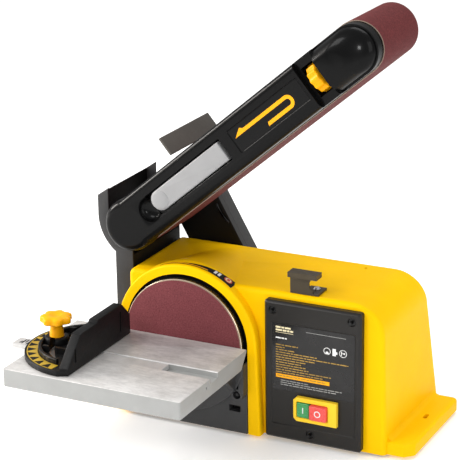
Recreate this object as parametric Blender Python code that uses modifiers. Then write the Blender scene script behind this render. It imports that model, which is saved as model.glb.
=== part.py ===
"""Belt disc sander: a base with a disc and a tilting table, and a belt arm that tilts on its drive drum.

Frame: +X to the right, +Y to the back, +Z up, metres. The origin is on the bench, below the middle of
the machine's outline. The arm's own parts are placed in the arm's frame: +X from the drive drum to the
idler, +Z out of the sanding side.
"""
import math

import bmesh
import bpy

# ---- driving dimensions ------------------------------------------------------------------------
HALF_WIDTH = 0.2255
HALF_DEPTH = 0.180
MESH_GAP = 0.0003
WALL = 0.0025

FOOT_HEIGHT = 0.004
BASE_BOTTOM = FOOT_HEIGHT
BASE_TOP = 0.183
BASE_LEFT = -0.133
BASE_RIGHT = 0.192
BASE_FRONT = 0.007
BASE_REAR_TOP = 0.138
BASE_CORNER = 0.038
FLANGE_TOP = 0.019

DISC_X = -0.0515
DISC_Z = 0.111
DISC_RADIUS = 0.075
DISC_FACE = -0.0135
SHROUD_FRONT = -0.0055
SHROUD_OUTER = 0.091
SHROUD_INNER = 0.080

TABLE_LEFT = -0.1925
TABLE_RIGHT = 0.0325
TABLE_REAR = -0.016
TABLE_TOP = 0.116
TABLE_THICKNESS = 0.022
TABLE_SKIN = 0.008
PIVOT_Y = -0.0405
PIVOT_Z = 0.101
LOCK_RADIUS = 0.034
LOCK_ANGLE = -115
TABLE_TILT = 45

SLOT_Y = -0.099
SLOT_WIDTH = 0.0194
SLOT_DEPTH = 0.007
MITER_X = -0.1245
MITER_RADIUS = 0.076
MITER_KNOB_RADIUS = 0.045
FENCE_LENGTH = 0.142
FENCE_HEIGHT = 0.043

DRUM_X = -0.1245
DRUM_Z = 0.240
ARM_TILT = 40
DRUM_SPACING = 0.362
DRUM_RADIUS = 0.029
BELT_OUTER = 0.0303
BELT_FRONT = 0.020
BELT_WIDTH = 0.100
COVER_HALF = 0.029
COVER_FRONT = -0.008
COVER_BACK = 0.018

BRACKET_FRONT = 0.142
BRACKET_THICKNESS = 0.008
PULLEY_COVER_BACK = 0.171
PULLEY_COVER_RADIUS = 0.033
PULLEY_OFFSET = 0.004
DRIVE_PULLEY = 0.020
DRIVEN_PULLEY = 0.022
PULLEY_FRONT = 0.1535
PULLEY_WIDTH = 0.012
SHAFT_RADIUS = 0.006
PIVOT_BOSS = 0.016

PANEL_LEFT = 0.0485
PANEL_RIGHT = 0.1685
PANEL_BOTTOM = 0.0055
PANEL_TOP = 0.1755
PANEL_FRONT = -0.003


# ---- scene and collections ---------------------------------------------------------------------
def clear_scene():
    for item in list(bpy.data.objects):
        bpy.data.objects.remove(item, do_unlink=True)


def new_collection(name):
    group = bpy.data.collections.new(name)
    bpy.context.scene.collection.children.link(group)
    return group


clear_scene()
PARTS = new_collection("belt_disc_sander")
CUTTERS = new_collection("cutters")


# ---- materials ---------------------------------------------------------------------------------
def material(name, color, roughness, metallic=0.0):
    mat = bpy.data.materials.new(name)
    mat.use_nodes = True
    shader = mat.node_tree.nodes["Principled BSDF"]
    shader.inputs["Base Color"].default_value = (*color, 1.0)
    shader.inputs["Roughness"].default_value = roughness
    shader.inputs["Metallic"].default_value = metallic
    return mat


YELLOW_PAINT = material("yellow_paint", (0.90, 0.52, 0.01), 0.35)
YELLOW_PLASTIC = material("yellow_plastic", (0.92, 0.45, 0.01), 0.4)
BLACK_PLASTIC = material("black_plastic", (0.015, 0.015, 0.016), 0.3)
DARK_PANEL = material("dark_panel", (0.035, 0.032, 0.030), 0.45)
DARK_CASTING = material("dark_casting", (0.03, 0.03, 0.032), 0.5)
DARK_SHEET = material("dark_sheet", (0.07, 0.062, 0.055), 0.5, 0.3)
GREY_PLASTIC = material("grey_plastic", (0.45, 0.45, 0.46), 0.4)
ALUMINIUM = material("aluminium", (0.60, 0.60, 0.60), 0.4, 0.9)
STEEL = material("steel", (0.45, 0.45, 0.46), 0.3, 1.0)
ABRASIVE = material("abrasive", (0.15, 0.035, 0.04), 0.9)
RUBBER = material("rubber", (0.02, 0.02, 0.02), 0.8)
MOTOR_PAINT = material("motor_paint", (0.08, 0.08, 0.085), 0.5)
GREEN = material("green_button", (0.02, 0.30, 0.06), 0.35)
RED = material("red_button", (0.75, 0.04, 0.04), 0.35)
SCALE_YELLOW = material("scale_yellow", (0.55, 0.36, 0.04), 0.4)


# ---- shape helpers -----------------------------------------------------------------------------
TO_Y = (math.radians(-90), 0, 0)
TO_X = (0, math.radians(90), 0)


def place(item, mat, parent, rotation, location):
    """Give an object its finish and its place; a cutter has no finish and goes to its own collection."""
    item.location = location
    item.rotation_euler = rotation
    item.parent = parent
    if mat is None:
        CUTTERS.objects.link(item)
        item.hide_render = True
        item.display_type = "WIRE"
    else:
        PARTS.objects.link(item)
        item.data.materials.clear()
        item.data.materials.append(mat)
    return item


def from_bmesh(name, bm):
    mesh = bpy.data.meshes.new(name)
    bmesh.ops.recalc_face_normals(bm, faces=bm.faces)
    bm.to_mesh(mesh)
    bm.free()
    return bpy.data.objects.new(name, mesh)


def box(name, low, high, mat=None, parent=None):
    size = [b - a for a, b in zip(low, high)]
    middle = [(a + b) / 2 for a, b in zip(low, high)]
    bm = bmesh.new()
    bmesh.ops.create_cube(bm, size=1.0)
    bmesh.ops.scale(bm, vec=size, verts=bm.verts)
    return place(from_bmesh(name, bm), mat, parent, (0, 0, 0), middle)


def cylinder(name, start, length, radius, mat=None, parent=None, turn=TO_Y, sides=32, tip=None):
    """A cylinder, or a cone with a tip radius, that starts at a point and runs along its turned +Z."""
    bm = bmesh.new()
    bmesh.ops.create_cone(bm, cap_ends=True, segments=sides, radius1=radius,
                          radius2=radius if tip is None else tip, depth=length)
    bmesh.ops.translate(bm, vec=(0, 0, length / 2), verts=bm.verts)
    item = place(from_bmesh(name, bm), mat, parent, turn, start)
    item.data.shade_smooth()
    item.data.set_sharp_from_angle(angle=math.radians(40))
    return item


def turned(name, profile, place_at, mat, parent=None, turn=TO_Y, steps=32, closed=False):
    """Screw a profile of (radius, height) points around +Z; it runs down its outer side."""
    bm = bmesh.new()
    verts = [bm.verts.new((r, 0, z)) for r, z in profile]
    pairs = list(zip(verts, verts[1:]))
    if closed:
        pairs.append((verts[-1], verts[0]))
    for a, b in pairs:
        bm.edges.new((a, b))
    mesh = bpy.data.meshes.new(name)
    bm.to_mesh(mesh)
    bm.free()
    item = place(bpy.data.objects.new(name, mesh), mat, parent, turn, place_at)
    screw = item.modifiers.new("screw", "SCREW")
    screw.axis = "Z"
    screw.steps = steps
    screw.render_steps = steps
    screw.use_merge_vertices = True
    screw.merge_threshold = 0.00005
    return item


def ring(name, start, length, outer, inner, mat, parent=None, steps=16):
    profile = [(outer, length), (outer, 0), (inner, 0), (inner, length)]
    return turned(name, profile, start, mat, parent, steps=steps, closed=True)


def as_mesh(curve_object, name):
    """Turn a curve object into a welded mesh object's data, and remove the curve."""
    bpy.context.scene.collection.objects.link(curve_object)
    graph = bpy.context.evaluated_depsgraph_get()
    mesh = bpy.data.meshes.new_from_object(curve_object.evaluated_get(graph))
    bpy.data.objects.remove(curve_object, do_unlink=True)
    bm = bmesh.new()
    bm.from_mesh(mesh)
    bmesh.ops.remove_doubles(bm, verts=bm.verts, dist=0.00002)
    bmesh.ops.dissolve_limit(bm, angle_limit=math.radians(0.5), verts=bm.verts, edges=bm.edges)
    return from_bmesh(name, bm)


def plate(name, outlines, start, thickness, mat=None, parent=None, plane="XZ"):
    """Extrude flat outlines; "XZ" ones run back along +Y, "YZ" ones to +X and "XY" ones up +Z."""
    curve = bpy.data.curves.new(name, "CURVE")
    curve.dimensions = "2D"
    curve.fill_mode = "BOTH"
    curve.extrude = thickness / 2
    for outline in outlines:
        spline = curve.splines.new("POLY")
        spline.points.add(len(outline) - 1)
        for point, (u, v) in zip(spline.points, outline):
            point.co = (u, v, 0, 1)
        spline.use_cyclic_u = True
    middle = start + thickness / 2
    turns = {"XZ": ((math.radians(90), 0, 0), (0, middle, 0)),
             "YZ": ((math.radians(90), 0, math.radians(90)), (middle, 0, 0)),
             "XY": ((0, 0, 0), (0, 0, middle))}
    rotation, location = turns[plane]
    return place(as_mesh(bpy.data.objects.new(name, curve), name), mat, parent, rotation, location)


def bevel(item, width, segments=2, angle=40):
    mod = item.modifiers.new("bevel", "BEVEL")
    mod.width = width
    mod.segments = segments
    mod.limit_method = "ANGLE"
    mod.angle_limit = math.radians(angle)
    mod.use_clamp_overlap = True
    return item


def combine(item, operation, others):
    for other in others:
        mod = item.modifiers.new(operation.lower(), "BOOLEAN")
        mod.operation = operation
        mod.object = other
    return item


def cut(item, *cutters):
    return combine(item, "DIFFERENCE", cutters)


def join(item, *others):
    return combine(item, "UNION", others)


def empty(name, location, rotation=(0, 0, 0), parent=None):
    item = bpy.data.objects.new(name, None)
    item.location = location
    item.rotation_euler = rotation
    item.parent = parent
    bpy.context.scene.collection.objects.link(item)
    return item


# ---- outline helpers ---------------------------------------------------------------------------
def arc(cx, cy, radius, start, end, steps):
    """Points on an arc, angles in degrees."""
    angles = [math.radians(start + (end - start) * i / steps) for i in range(steps + 1)]
    return [(cx + radius * math.cos(a), cy + radius * math.sin(a)) for a in angles]


def stadium(x0, z0, x1, z1, radius, steps=12):
    """The outline around two equal circles."""
    lean = math.degrees(math.atan2(z1 - z0, x1 - x0))
    first = arc(x0, z0, radius, lean + 90, lean + 270, steps)
    return first + arc(x1, z1, radius, lean - 90, lean + 90, steps)


def belt_path(x0, z0, r0, x1, z1, r1, steps=14):
    """The outline of a belt around two unequal circles."""
    lean = math.degrees(math.atan2(z1 - z0, x1 - x0))
    spread = math.degrees(math.acos((r0 - r1) / math.hypot(x1 - x0, z1 - z0)))
    first = arc(x0, z0, r0, lean + spread, lean + 360 - spread, steps)
    return first + arc(x1, z1, r1, lean - spread, lean + spread, steps)


def lobed(radius, depth, lobes, points):
    """A knob's scalloped outline."""
    angles = [2 * math.pi * i / points for i in range(points)]
    radii = [radius - depth * (1 - math.cos(lobes * a)) / 2 for a in angles]
    return [(r * math.cos(a), r * math.sin(a)) for r, a in zip(radii, angles)]


def moved(outline, du, dv):
    return [(u + du, v + dv) for u, v in outline]


# ---- base --------------------------------------------------------------------------------------
BELOW = -0.02


def loaf_outline(inset):
    """The casing seen from the front, with its large top right corner."""
    left, right, top = BASE_LEFT + inset, BASE_RIGHT - inset, BASE_TOP - inset
    corner = BASE_CORNER - inset
    outline = [(left, BELOW), (right + 0.004, BELOW)]
    outline += arc(right - corner, top - corner, corner, 0, 90, 6)
    return outline + arc(left + 0.008, top - 0.008, 0.008, 90, 180, 3)


def rear_of_base(z):
    """The rear wall leans: it is deeper at the bottom."""
    slope = (HALF_DEPTH - BASE_REAR_TOP) / (BASE_TOP - BASE_BOTTOM)
    return BASE_REAR_TOP + (BASE_TOP - z) * slope


REAR_LEAN = math.atan2(HALF_DEPTH - BASE_REAR_TOP, BASE_TOP - BASE_BOTTOM)
REAR_NORMAL = (math.radians(-90) + REAR_LEAN, 0, 0)
GLAND_X = 0.150
GLAND_Z = 0.080


def gland_point(distance):
    """A point on the cable gland's axis, measured outward from the rear wall."""
    return (GLAND_X, rear_of_base(GLAND_Z) + distance * math.cos(REAR_LEAN),
            GLAND_Z + distance * math.sin(REAR_LEAN))


def loaf(name, inset, front, mat=None):
    item = plate(name, [loaf_outline(inset)], front, 0.1, mat)
    for vert in item.data.vertices:
        if vert.co.z < 0:
            vert.co.z = -(rear_of_base(vert.co.y) - inset - front) + 0.05
    return item


def arch_outline(radius, flare, foot):
    """A round top on two legs that open slightly towards the foot."""
    outline = arc(DISC_X, DISC_Z, radius, 0, 180, 24)
    return outline + [(DISC_X - radius - flare, foot), (DISC_X + radius + flare, foot)]


def pulley_stadium(extra):
    """The outline around the drive, its ends moved a little to the right of the pulleys' line."""
    length = math.hypot(DRUM_X - DISC_X, DRUM_Z - DISC_Z)
    shift_x = PULLEY_OFFSET * (DRUM_Z - DISC_Z) / length
    shift_z = -PULLEY_OFFSET * (DRUM_X - DISC_X) / length
    return stadium(DISC_X + shift_x, DISC_Z + shift_z, DRUM_X + shift_x, DRUM_Z + shift_z,
                   PULLEY_COVER_RADIUS + extra)


def flange(name, x0, x1):
    outer, inner = (x0, x1) if x0 < 0 else (x1, x0)
    step = 0.010 if x0 < 0 else -0.010
    outline = [(inner, 0.014), (outer + step, 0.014), (outer, 0.024), (outer, 0.166), (inner, 0.166)]
    return bevel(plate(name, [outline], BELOW, FLANGE_TOP - BELOW, plane="XY"), 0.002)


def saddle():
    """The top sinks from the round disc shroud to the flat rear of the casing."""
    length = 0.118
    item = plate("saddle_form", [arch_outline(SHROUD_OUTER, 0, BELOW)], BASE_FRONT + 0.004, length)
    shrink = (BASE_TOP - DISC_Z - 0.001) / SHROUD_OUTER
    for vert in item.data.vertices:
        if vert.co.z < 0:
            vert.co.x = DISC_X + (vert.co.x - DISC_X) * shrink
            vert.co.y = DISC_Z + (vert.co.y - DISC_Z) * shrink
    room = box("saddle_limits_cutter", (BASE_LEFT + 0.003, 0, 0.150), (0.1, 0.2, 0.3))
    return combine(item, "INTERSECT", [room])


def make_base_housing():
    body = bevel(loaf("base_housing", 0, BASE_FRONT, YELLOW_PAINT), 0.006, 2)
    shroud = bevel(plate("shroud_form", [arch_outline(SHROUD_OUTER, 0.005, BELOW)],
                         SHROUD_FRONT, 0.020), 0.002, 2)
    join(body, shroud, saddle(), flange("flange_left_form", -HALF_WIDTH + 0.060, BASE_LEFT + 0.004),
         flange("flange_right_form", BASE_RIGHT - 0.004, HALF_WIDTH))
    cavity = loaf("cavity_cutter", WALL, BASE_FRONT + WALL)
    cut(cavity, plate("drive_wall_cutter", [pulley_stadium(0.0055)], BRACKET_FRONT - 0.005, 0.1))
    floor = box("floor_cutter", (-0.3, -0.1, -0.05), (0.3, 0.3, BASE_BOTTOM))
    pocket = plate("disc_pocket_cutter", [arch_outline(SHROUD_INNER, 0, BELOW)], -0.03, 0.0335)
    window = box("window_cutter", (0.062, 0, 0.022), (0.157, 0.03, 0.160))
    shaft_hole = cylinder("shaft_hole_cutter", (DISC_X, -0.02, DISC_Z), 0.05, 0.018)
    rear = plate("drive_recess_cutter", [pulley_stadium(0.002)], BRACKET_FRONT - 0.0015, 0.1)
    rear_shaft = cylinder("rear_shaft_cutter", (DISC_X, 0.1, DISC_Z), 0.06, 0.012)
    top_hole = cylinder("top_hole_cutter", (0.1225, 0.1215, 0.15), 0.05, 0.002, turn=(0, 0, 0), sides=12)
    slots = [plate(name, [stadium(x, 0.094, x, 0.102, 0.0025, 6)], -0.01, 0.04, plane="XY")
             for name, x in (("slot_cutter_left", -0.150), ("slot_cutter_right", 0.210))]
    gland_hole = cylinder("gland_hole_cutter", gland_point(-0.020), 0.04, 0.0085, turn=REAR_NORMAL, sides=20)
    return cut(body, cavity, floor, pocket, window, shaft_hole, rear, rear_shaft, top_hole,
               *slots, gland_hole)


def make_base_plate():
    outline = [(BASE_LEFT + 0.006, 0.014), (0.186, 0.014), (0.186, 0.172), (BASE_LEFT + 0.006, 0.172)]
    return plate("base_plate", [outline], BASE_BOTTOM + 0.0005, 0.0015, DARK_SHEET, plane="XY")


def make_feet():
    spots = {"front_left": (-0.150, 0.044), "front_right": (0.210, 0.044),
             "rear_left": (-0.150, 0.150), "rear_right": (0.210, 0.150)}
    for name, (x, y) in spots.items():
        cylinder(f"foot_{name}", (x, y, 0), BASE_BOTTOM - MESH_GAP, 0.011, RUBBER,
                 turn=(0, 0, 0), sides=20)


def make_rest_hook():
    top = DRUM_Z - COVER_HALF - 0.0004
    hook = box("rest_hook", (0.0755, 0.0105, BASE_TOP + MESH_GAP), (0.1035, 0.0135, top - 0.001),
               DARK_SHEET)
    foot = box("hook_foot_form", (0.0905, 0.0110, BASE_TOP + MESH_GAP), (0.1105, 0.0350, BASE_TOP + 0.003))
    shelf = bevel(box("hook_shelf_form", (0.0755, 0.0030, top - 0.006), (0.1115, 0.0180, top)), 0.001)
    join(hook, foot, shelf)
    notch = cylinder("hook_notch_cutter", (0.1055, 0.0, top - 0.0145), 0.02, 0.007, sides=16)
    hole = cylinder("hook_hole_cutter", (0.1020, 0.0260, BASE_TOP - 0.005), 0.02, 0.0024,
                    turn=(0, 0, 0), sides=16)
    cut(hook, notch, hole)
    profile = [(0, 0.0025), (0.003, 0.0022), (0.0042, 0.0006), (0.0042, 0), (0.0020, 0), (0.0020, -0.0027),
               (0, -0.0027)]
    turned("rest_hook_screw", profile, (0.1020, 0.0260, BASE_TOP + 0.0033), STEEL, turn=(0, 0, 0), steps=10)


def make_cable_gland():
    profile = [(0.0080, 0.012), (0.0120, 0.010), (0.0120, 0.0003), (0.0082, 0.0003), (0.0082, -0.006),
               (0.0045, -0.006), (0.0045, 0.012)]
    turned("cable_gland", profile, gland_point(0), BLACK_PLASTIC, turn=REAR_NORMAL, steps=20, closed=True)


# ---- disc guard with the table's bracket arms --------------------------------------------------
LOCK_Y = PIVOT_Y + LOCK_RADIUS * math.cos(math.radians(LOCK_ANGLE))
LOCK_Z = PIVOT_Z + LOCK_RADIUS * math.sin(math.radians(LOCK_ANGLE))
RIGHT_LUG = (0.012, 0.018)
LEFT_ARM = (-0.146, -0.140)
LUG_RADIUS = 0.0065
BOLT_RADIUS = 0.003
DISH_RADIUS = 0.084
GUARD_SCREWS = {"left": (DISC_X - 0.0735, 0.046), "right": (DISC_X + 0.0700, 0.056)}


def make_disc_guard():
    left, right = DISC_X - SHROUD_INNER + 0.0006, DISC_X + SHROUD_INNER - 0.0006
    top = 0.095
    guard = box("disc_guard", (left, -0.0070, BASE_BOTTOM + 0.001), (right, 0.0030, top), DARK_CASTING)
    lean = math.degrees(math.acos((right - DISC_X) / DISH_RADIUS))
    half = [(left, top)] + arc(DISC_X, DISC_Z, DISH_RADIUS, 180 + lean, 360 - lean, 20) + [(right, top)]
    dish = bevel(plate("dish_form", [half], -0.0175, 0.0117), 0.0015, 1)
    boss_x, boss_z = GUARD_SCREWS["right"]
    boss = cylinder("boss_form", (boss_x, -0.0150, boss_z), 0.0100, 0.0075, sides=24)
    post = box("post_form", (right - 0.0065, -0.0160, boss_z), (right, -0.0060, top))
    lug_outline = [(-0.016, 0.060), (-0.016, 0.088), (-0.033, 0.0935)] + arc(
        PIVOT_Y, PIVOT_Z, LUG_RADIUS, 0, 180, 8) + [(PIVOT_Y - LUG_RADIUS, 0.090)]
    lug = plate("lug_form", [lug_outline], RIGHT_LUG[0], RIGHT_LUG[1] - RIGHT_LUG[0], plane="YZ")
    arm_outline = [(-0.0062, 0.058), (-0.0062, 0.082), (-0.033, 0.0935)] + arc(
        PIVOT_Y, PIVOT_Z, LUG_RADIUS, 0, 180, 8) + arc(LOCK_Y, LOCK_Z, 0.008, 170, 270, 5)
    arm = plate("arm_form", [arm_outline], LEFT_ARM[0], LEFT_ARM[1] - LEFT_ARM[0], plane="YZ")
    bridge = box("bridge_form", (LEFT_ARM[0], -0.0165, 0.058), (-0.1180, -0.0062, 0.082))
    join(guard, dish, boss, post, lug, arm, bridge)
    sink = cylinder("screw_sink_cutter", (boss_x, -0.0200, boss_z), 0.0130, 0.0050, sides=24)
    hollow = cylinder("disc_room_cutter", (DISC_X, -0.0150, DISC_Z), 0.03, 0.0795, sides=48)
    slot = box("guard_slot_cutter", (0.0045, -0.02, 0.0310), (0.0195, 0.01, 0.0390))
    holes = [cylinder(f"pivot_hole_cutter_{i}", (x, PIVOT_Y, PIVOT_Z), 0.02, BOLT_RADIUS + MESH_GAP,
                      turn=TO_X, sides=24) for i, x in enumerate((-0.153, 0.005))]
    lock = cylinder("lock_hole_cutter", (-0.153, LOCK_Y, LOCK_Z), 0.02, BOLT_RADIUS + MESH_GAP,
                    turn=TO_X, sides=24)
    screw_holes = [cylinder(f"guard_hole_cutter_{side}", (x, -0.02, z), 0.04, 0.0024, sides=16)
                   for side, (x, z) in GUARD_SCREWS.items()]
    return cut(guard, sink, hollow, slot, lock, *holes, *screw_holes)


def screw(name, location, mat=STEEL, head=0.0042, length=0.006, parent=None, turn=TO_Y):
    """A pan head screw; its head's underside is at the location and its shank runs along +Z."""
    profile = [(0, length), (0.0021, length), (0.0021, 0), (head, 0), (head, -0.0008),
               (head * 0.7, -0.0024), (0, -0.0027)]
    return turned(name, profile, location, mat, parent, turn, steps=10)


def make_guard_screws():
    for side, (x, z) in GUARD_SCREWS.items():
        screw(f"guard_screw_{side}", (x, -0.0073, z), BLACK_PLASTIC, length=0.0085)


# ---- motor, disc and drive ---------------------------------------------------------------------
MOTOR_FRONT = 0.018
MOTOR_BACK = 0.112
MOTOR_RADIUS = 0.050


def make_motor():
    r, length = MOTOR_RADIUS, MOTOR_BACK - MOTOR_FRONT
    bore = 0.0115
    profile = [(r - 0.006, length), (r, length - 0.006), (r, 0.006), (r - 0.006, 0), (bore, 0), (bore, 0.008),
               (0.040, 0.008), (0.040, length - 0.022), (bore, length - 0.022), (bore, length)]
    can = turned("motor_can", profile, (DISC_X, MOTOR_FRONT, DISC_Z), MOTOR_PAINT, closed=True, steps=32)
    foot = box("motor_foot_form", (DISC_X - 0.035, MOTOR_FRONT + 0.015, 0.0072),
               (DISC_X + 0.035, MOTOR_BACK - 0.015, DISC_Z - 0.045))
    vent = box("motor_vent_cutter", (DISC_X - 0.010, MOTOR_FRONT + 0.03, DISC_Z + 0.03),
               (DISC_X + 0.010, MOTOR_FRONT + 0.05, DISC_Z + 0.07))
    join(can, foot)
    cut(can, vent)
    for name, y in (("front", MOTOR_FRONT), ("rear", MOTOR_BACK - 0.012)):
        ring(f"motor_bearing_{name}", (DISC_X, y + 0.0002, DISC_Z), 0.0075, 0.0112,
             SHAFT_RADIUS + MESH_GAP, STEEL)
    start, end = -0.0035, 0.168
    core0, core1 = MOTOR_FRONT + 0.012, MOTOR_BACK - 0.026
    shaft = [(0, end), (SHAFT_RADIUS, end), (SHAFT_RADIUS, core1), (0.030, core1), (0.030, core0),
             (SHAFT_RADIUS, core0), (SHAFT_RADIUS, start), (0, start)]
    turned("motor_rotor", shaft, (DISC_X, 0, DISC_Z), STEEL, steps=24)
    cylinder("capacitor", (0.020, 0.030, 0.032), 0.070, 0.018, BLACK_PLASTIC, sides=24)


def make_fan():
    y = MOTOR_BACK + 0.003
    hub = ring("motor_fan", (DISC_X, y, DISC_Z), 0.010, 0.016, SHAFT_RADIUS + MESH_GAP, BLACK_PLASTIC)
    blades = 9
    for i in range(blades):
        turn = 2 * math.pi * i / blades
        blade = box(f"fan_blade_form_{i}", (0.014, -0.0045, -0.0008), (0.038, 0.0045, 0.0008))
        blade.rotation_euler = (math.radians(0), turn, 0)
        middle = 0.026
        blade.location = (DISC_X + middle * math.cos(turn), y + 0.005, DISC_Z - middle * math.sin(turn))
        join(hub, blade)


def make_disc():
    back = 0.0095
    bore, hub_end = SHAFT_RADIUS + MESH_GAP, back + 0.008
    profile = [(0, 0.0088), (bore, 0.0088), (bore, hub_end), (0.014, hub_end), (0.014, back),
               (DISC_RADIUS, back), (DISC_RADIUS, 0.0012), (0, 0.0012)]
    turned("disc_plate", profile, (DISC_X, DISC_FACE, DISC_Z), ALUMINIUM, steps=40)
    cylinder("abrasive_disc", (DISC_X, DISC_FACE, DISC_Z), 0.0009, DISC_RADIUS, ABRASIVE, sides=48)


def pulley(name, x, z, radius):
    """A grooved pulley between two low rims."""
    rim, bore = radius + 0.002, SHAFT_RADIUS + MESH_GAP
    profile = [(rim, 0.016), (rim, 0.0145), (radius, 0.014), (radius, 0.002), (rim, 0.0015), (rim, 0),
               (bore, 0), (bore, 0.016)]
    turned(name, profile, (x, PULLEY_FRONT - 0.002, z), STEEL, closed=True, steps=20)


def make_drive():
    pulley("drive_pulley", DISC_X, DISC_Z, DRIVE_PULLEY)
    pulley("driven_pulley", DRUM_X, DRUM_Z, DRIVEN_PULLEY)
    inner = belt_path(DISC_X, DISC_Z, DRIVE_PULLEY + 0.0004, DRUM_X, DRUM_Z, DRIVEN_PULLEY + 0.0004)
    outer = belt_path(DISC_X, DISC_Z, DRIVE_PULLEY + 0.0030, DRUM_X, DRUM_Z, DRIVEN_PULLEY + 0.0030)
    plate("drive_belt", [outer, inner], PULLEY_FRONT + 0.0007, PULLEY_WIDTH - 0.0014, RUBBER)


def make_arm_bracket():
    bracket = bevel(plate("arm_bracket", [pulley_stadium(0)], BRACKET_FRONT, BRACKET_THICKNESS,
                          DARK_CASTING), 0.0015, 1)
    boss = cylinder("boss_form", (DRUM_X, 0.1245, DRUM_Z), 0.0180, PIVOT_BOSS, sides=32)
    join(bracket, boss)
    bearing = cylinder("bearing_seat_cutter", (DRUM_X, 0.1385, DRUM_Z), 0.03, 0.0115, sides=32)
    bore = cylinder("shaft_bore_cutter", (DRUM_X, 0.11, DRUM_Z), 0.06, 0.0075, sides=24)
    motor = cylinder("motor_bore_cutter", (DISC_X, 0.11, DISC_Z), 0.06, 0.012, sides=24)
    cut(bracket, bearing, bore, motor)
    ring("drum_bearing", (DRUM_X, 0.1390, DRUM_Z), 0.0100, 0.0112, SHAFT_RADIUS + MESH_GAP, STEEL)


def make_pulley_cover():
    front = BRACKET_FRONT + BRACKET_THICKNESS + MESH_GAP
    cover = bevel(plate("pulley_cover", [pulley_stadium(0)], front, PULLEY_COVER_BACK - front,
                        BLACK_PLASTIC), 0.004, 2)
    hollow = plate("cover_hollow_cutter", [pulley_stadium(-0.0025)], front - 0.01, 0.0285)
    return cut(cover, hollow)


# ---- dust chute ---------------------------------------------------------------------------------
CHUTE_FRONT = 0.020
CHUTE_DEPTH = 0.120
CHUTE_INNER = 0.040
CHUTE_OUTER = 0.055
CHUTE_TOP = 0.034
CHUTE_FOOT = 0.070


def chute_outline(outer, inner, left, right, top_left, top):
    """The wall that goes round the drum's left side and then down beside the casing."""
    turn_out = 180 + math.degrees(math.acos(-(left - DRUM_X) / outer))
    turn_in = 180 + math.degrees(math.acos(-(right - DRUM_X) / inner))
    outline = [(DRUM_X - inner, DRUM_Z + top), (DRUM_X - outer, DRUM_Z + top_left)]
    outline += arc(DRUM_X, DRUM_Z, outer, 180, turn_out, 10)
    outline += [(left, CHUTE_FOOT), (right, CHUTE_FOOT)]
    return outline + arc(DRUM_X, DRUM_Z, inner, turn_in, 180, 12)


def make_dust_chute():
    left, right = -0.1575, BASE_LEFT - 0.0006
    chute = plate("dust_chute", [chute_outline(CHUTE_OUTER, CHUTE_INNER, left, right, 0.0235, CHUTE_TOP)],
                  CHUTE_FRONT, CHUTE_DEPTH, DARK_CASTING)
    bevel(chute, 0.001, 1)
    wall = 0.003
    throat = [(DRUM_X - CHUTE_OUTER + wall, DRUM_Z + 0.06)]
    turn_out = 180 + math.degrees(math.acos(-(left + wall - DRUM_X) / (CHUTE_OUTER - wall)))
    throat += arc(DRUM_X, DRUM_Z, CHUTE_OUTER - wall, 180, turn_out, 10)
    throat += [(left + wall, CHUTE_FOOT - 0.01), (right - wall, CHUTE_FOOT - 0.01),
               (right - wall, DRUM_Z - 0.050), (DRUM_X, DRUM_Z - 0.030), (DRUM_X, DRUM_Z + 0.06)]
    hollow = plate("throat_cutter", [throat], CHUTE_FRONT + wall, CHUTE_DEPTH - 2 * wall)
    return cut(chute, hollow)


# ---- belt arm ------------------------------------------------------------------------------------
ARM = empty("arm_pivot", (DRUM_X, 0, DRUM_Z), (0, math.radians(-ARM_TILT), 0))
PLATE_FRONT = 0.122
PLATE_BACK = 0.130
LEVER_HINGE = 0.160
BLOCK_START = 0.324
LEVER_Y = -0.0045
GUIDE_WALL = 0.264
GUIDE_Y = 0.070
FORK_START = 0.3255


def arm_stadium(radius, start=0.0, end=DRUM_SPACING, steps=14):
    return stadium(start, 0, end, 0, radius, steps)


def make_arm_frame():
    frame = bevel(plate("arm_frame", [arm_stadium(0.026, end=0.330)], PLATE_FRONT, PLATE_BACK - PLATE_FRONT,
                        DARK_CASTING, ARM), 0.001, 1)
    beam = box("beam_form", (0.038, 0.0225, -0.016), (0.300, PLATE_FRONT + 0.001, 0.0250), parent=ARM)
    hub = cylinder("hub_form", (0, 0.1225, 0), 0.0155, 0.024, parent=ARM, sides=32)
    join(frame, beam, hub)
    channel = box("channel_cutter", (0.042, 0.0260, -0.03), (GUIDE_WALL - 0.006, 0.1180, 0.0210), parent=ARM)
    fork_room = box("fork_room_cutter", (GUIDE_WALL, 0.0200, -0.03), (0.310, 0.1210, 0.0205), parent=ARM)
    guide = cylinder("guide_hole_cutter", (0.240, GUIDE_Y, 0), 0.05, 0.0033, parent=ARM, turn=TO_X, sides=20)
    bore = cylinder("hub_bore_cutter", (0, 0.11, 0), 0.05, PIVOT_BOSS + 0.0003, parent=ARM, sides=32)
    lock = cylinder("arm_lock_cutter", (0.0160, 0.1345, 0), 0.03, 0.0027, parent=ARM, turn=TO_X, sides=16)
    cut(frame, channel, fork_room, guide, bore, lock)
    profile = [(0, 0.0125), (0.0042, 0.0125), (0.0042, 0.0085), (0.0024, 0.0085), (0.0024, 0.0006), (0, 0.0006)]
    turned("arm_lock_screw", profile, (0.0162, 0.1345, 0), STEEL, ARM, TO_X, steps=16)
    plate_low = 0.0254
    bevel(box("platen", (0.040, 0.0225, plate_low), (0.318, 0.1180, 0.0286), STEEL, ARM), 0.0008, 1)


def make_sanding_belt():
    plate("sanding_belt", [arm_stadium(BELT_OUTER, steps=18), arm_stadium(DRUM_RADIUS + 0.0003, steps=18)],
          BELT_FRONT, BELT_WIDTH, ABRASIVE, ARM)


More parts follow.
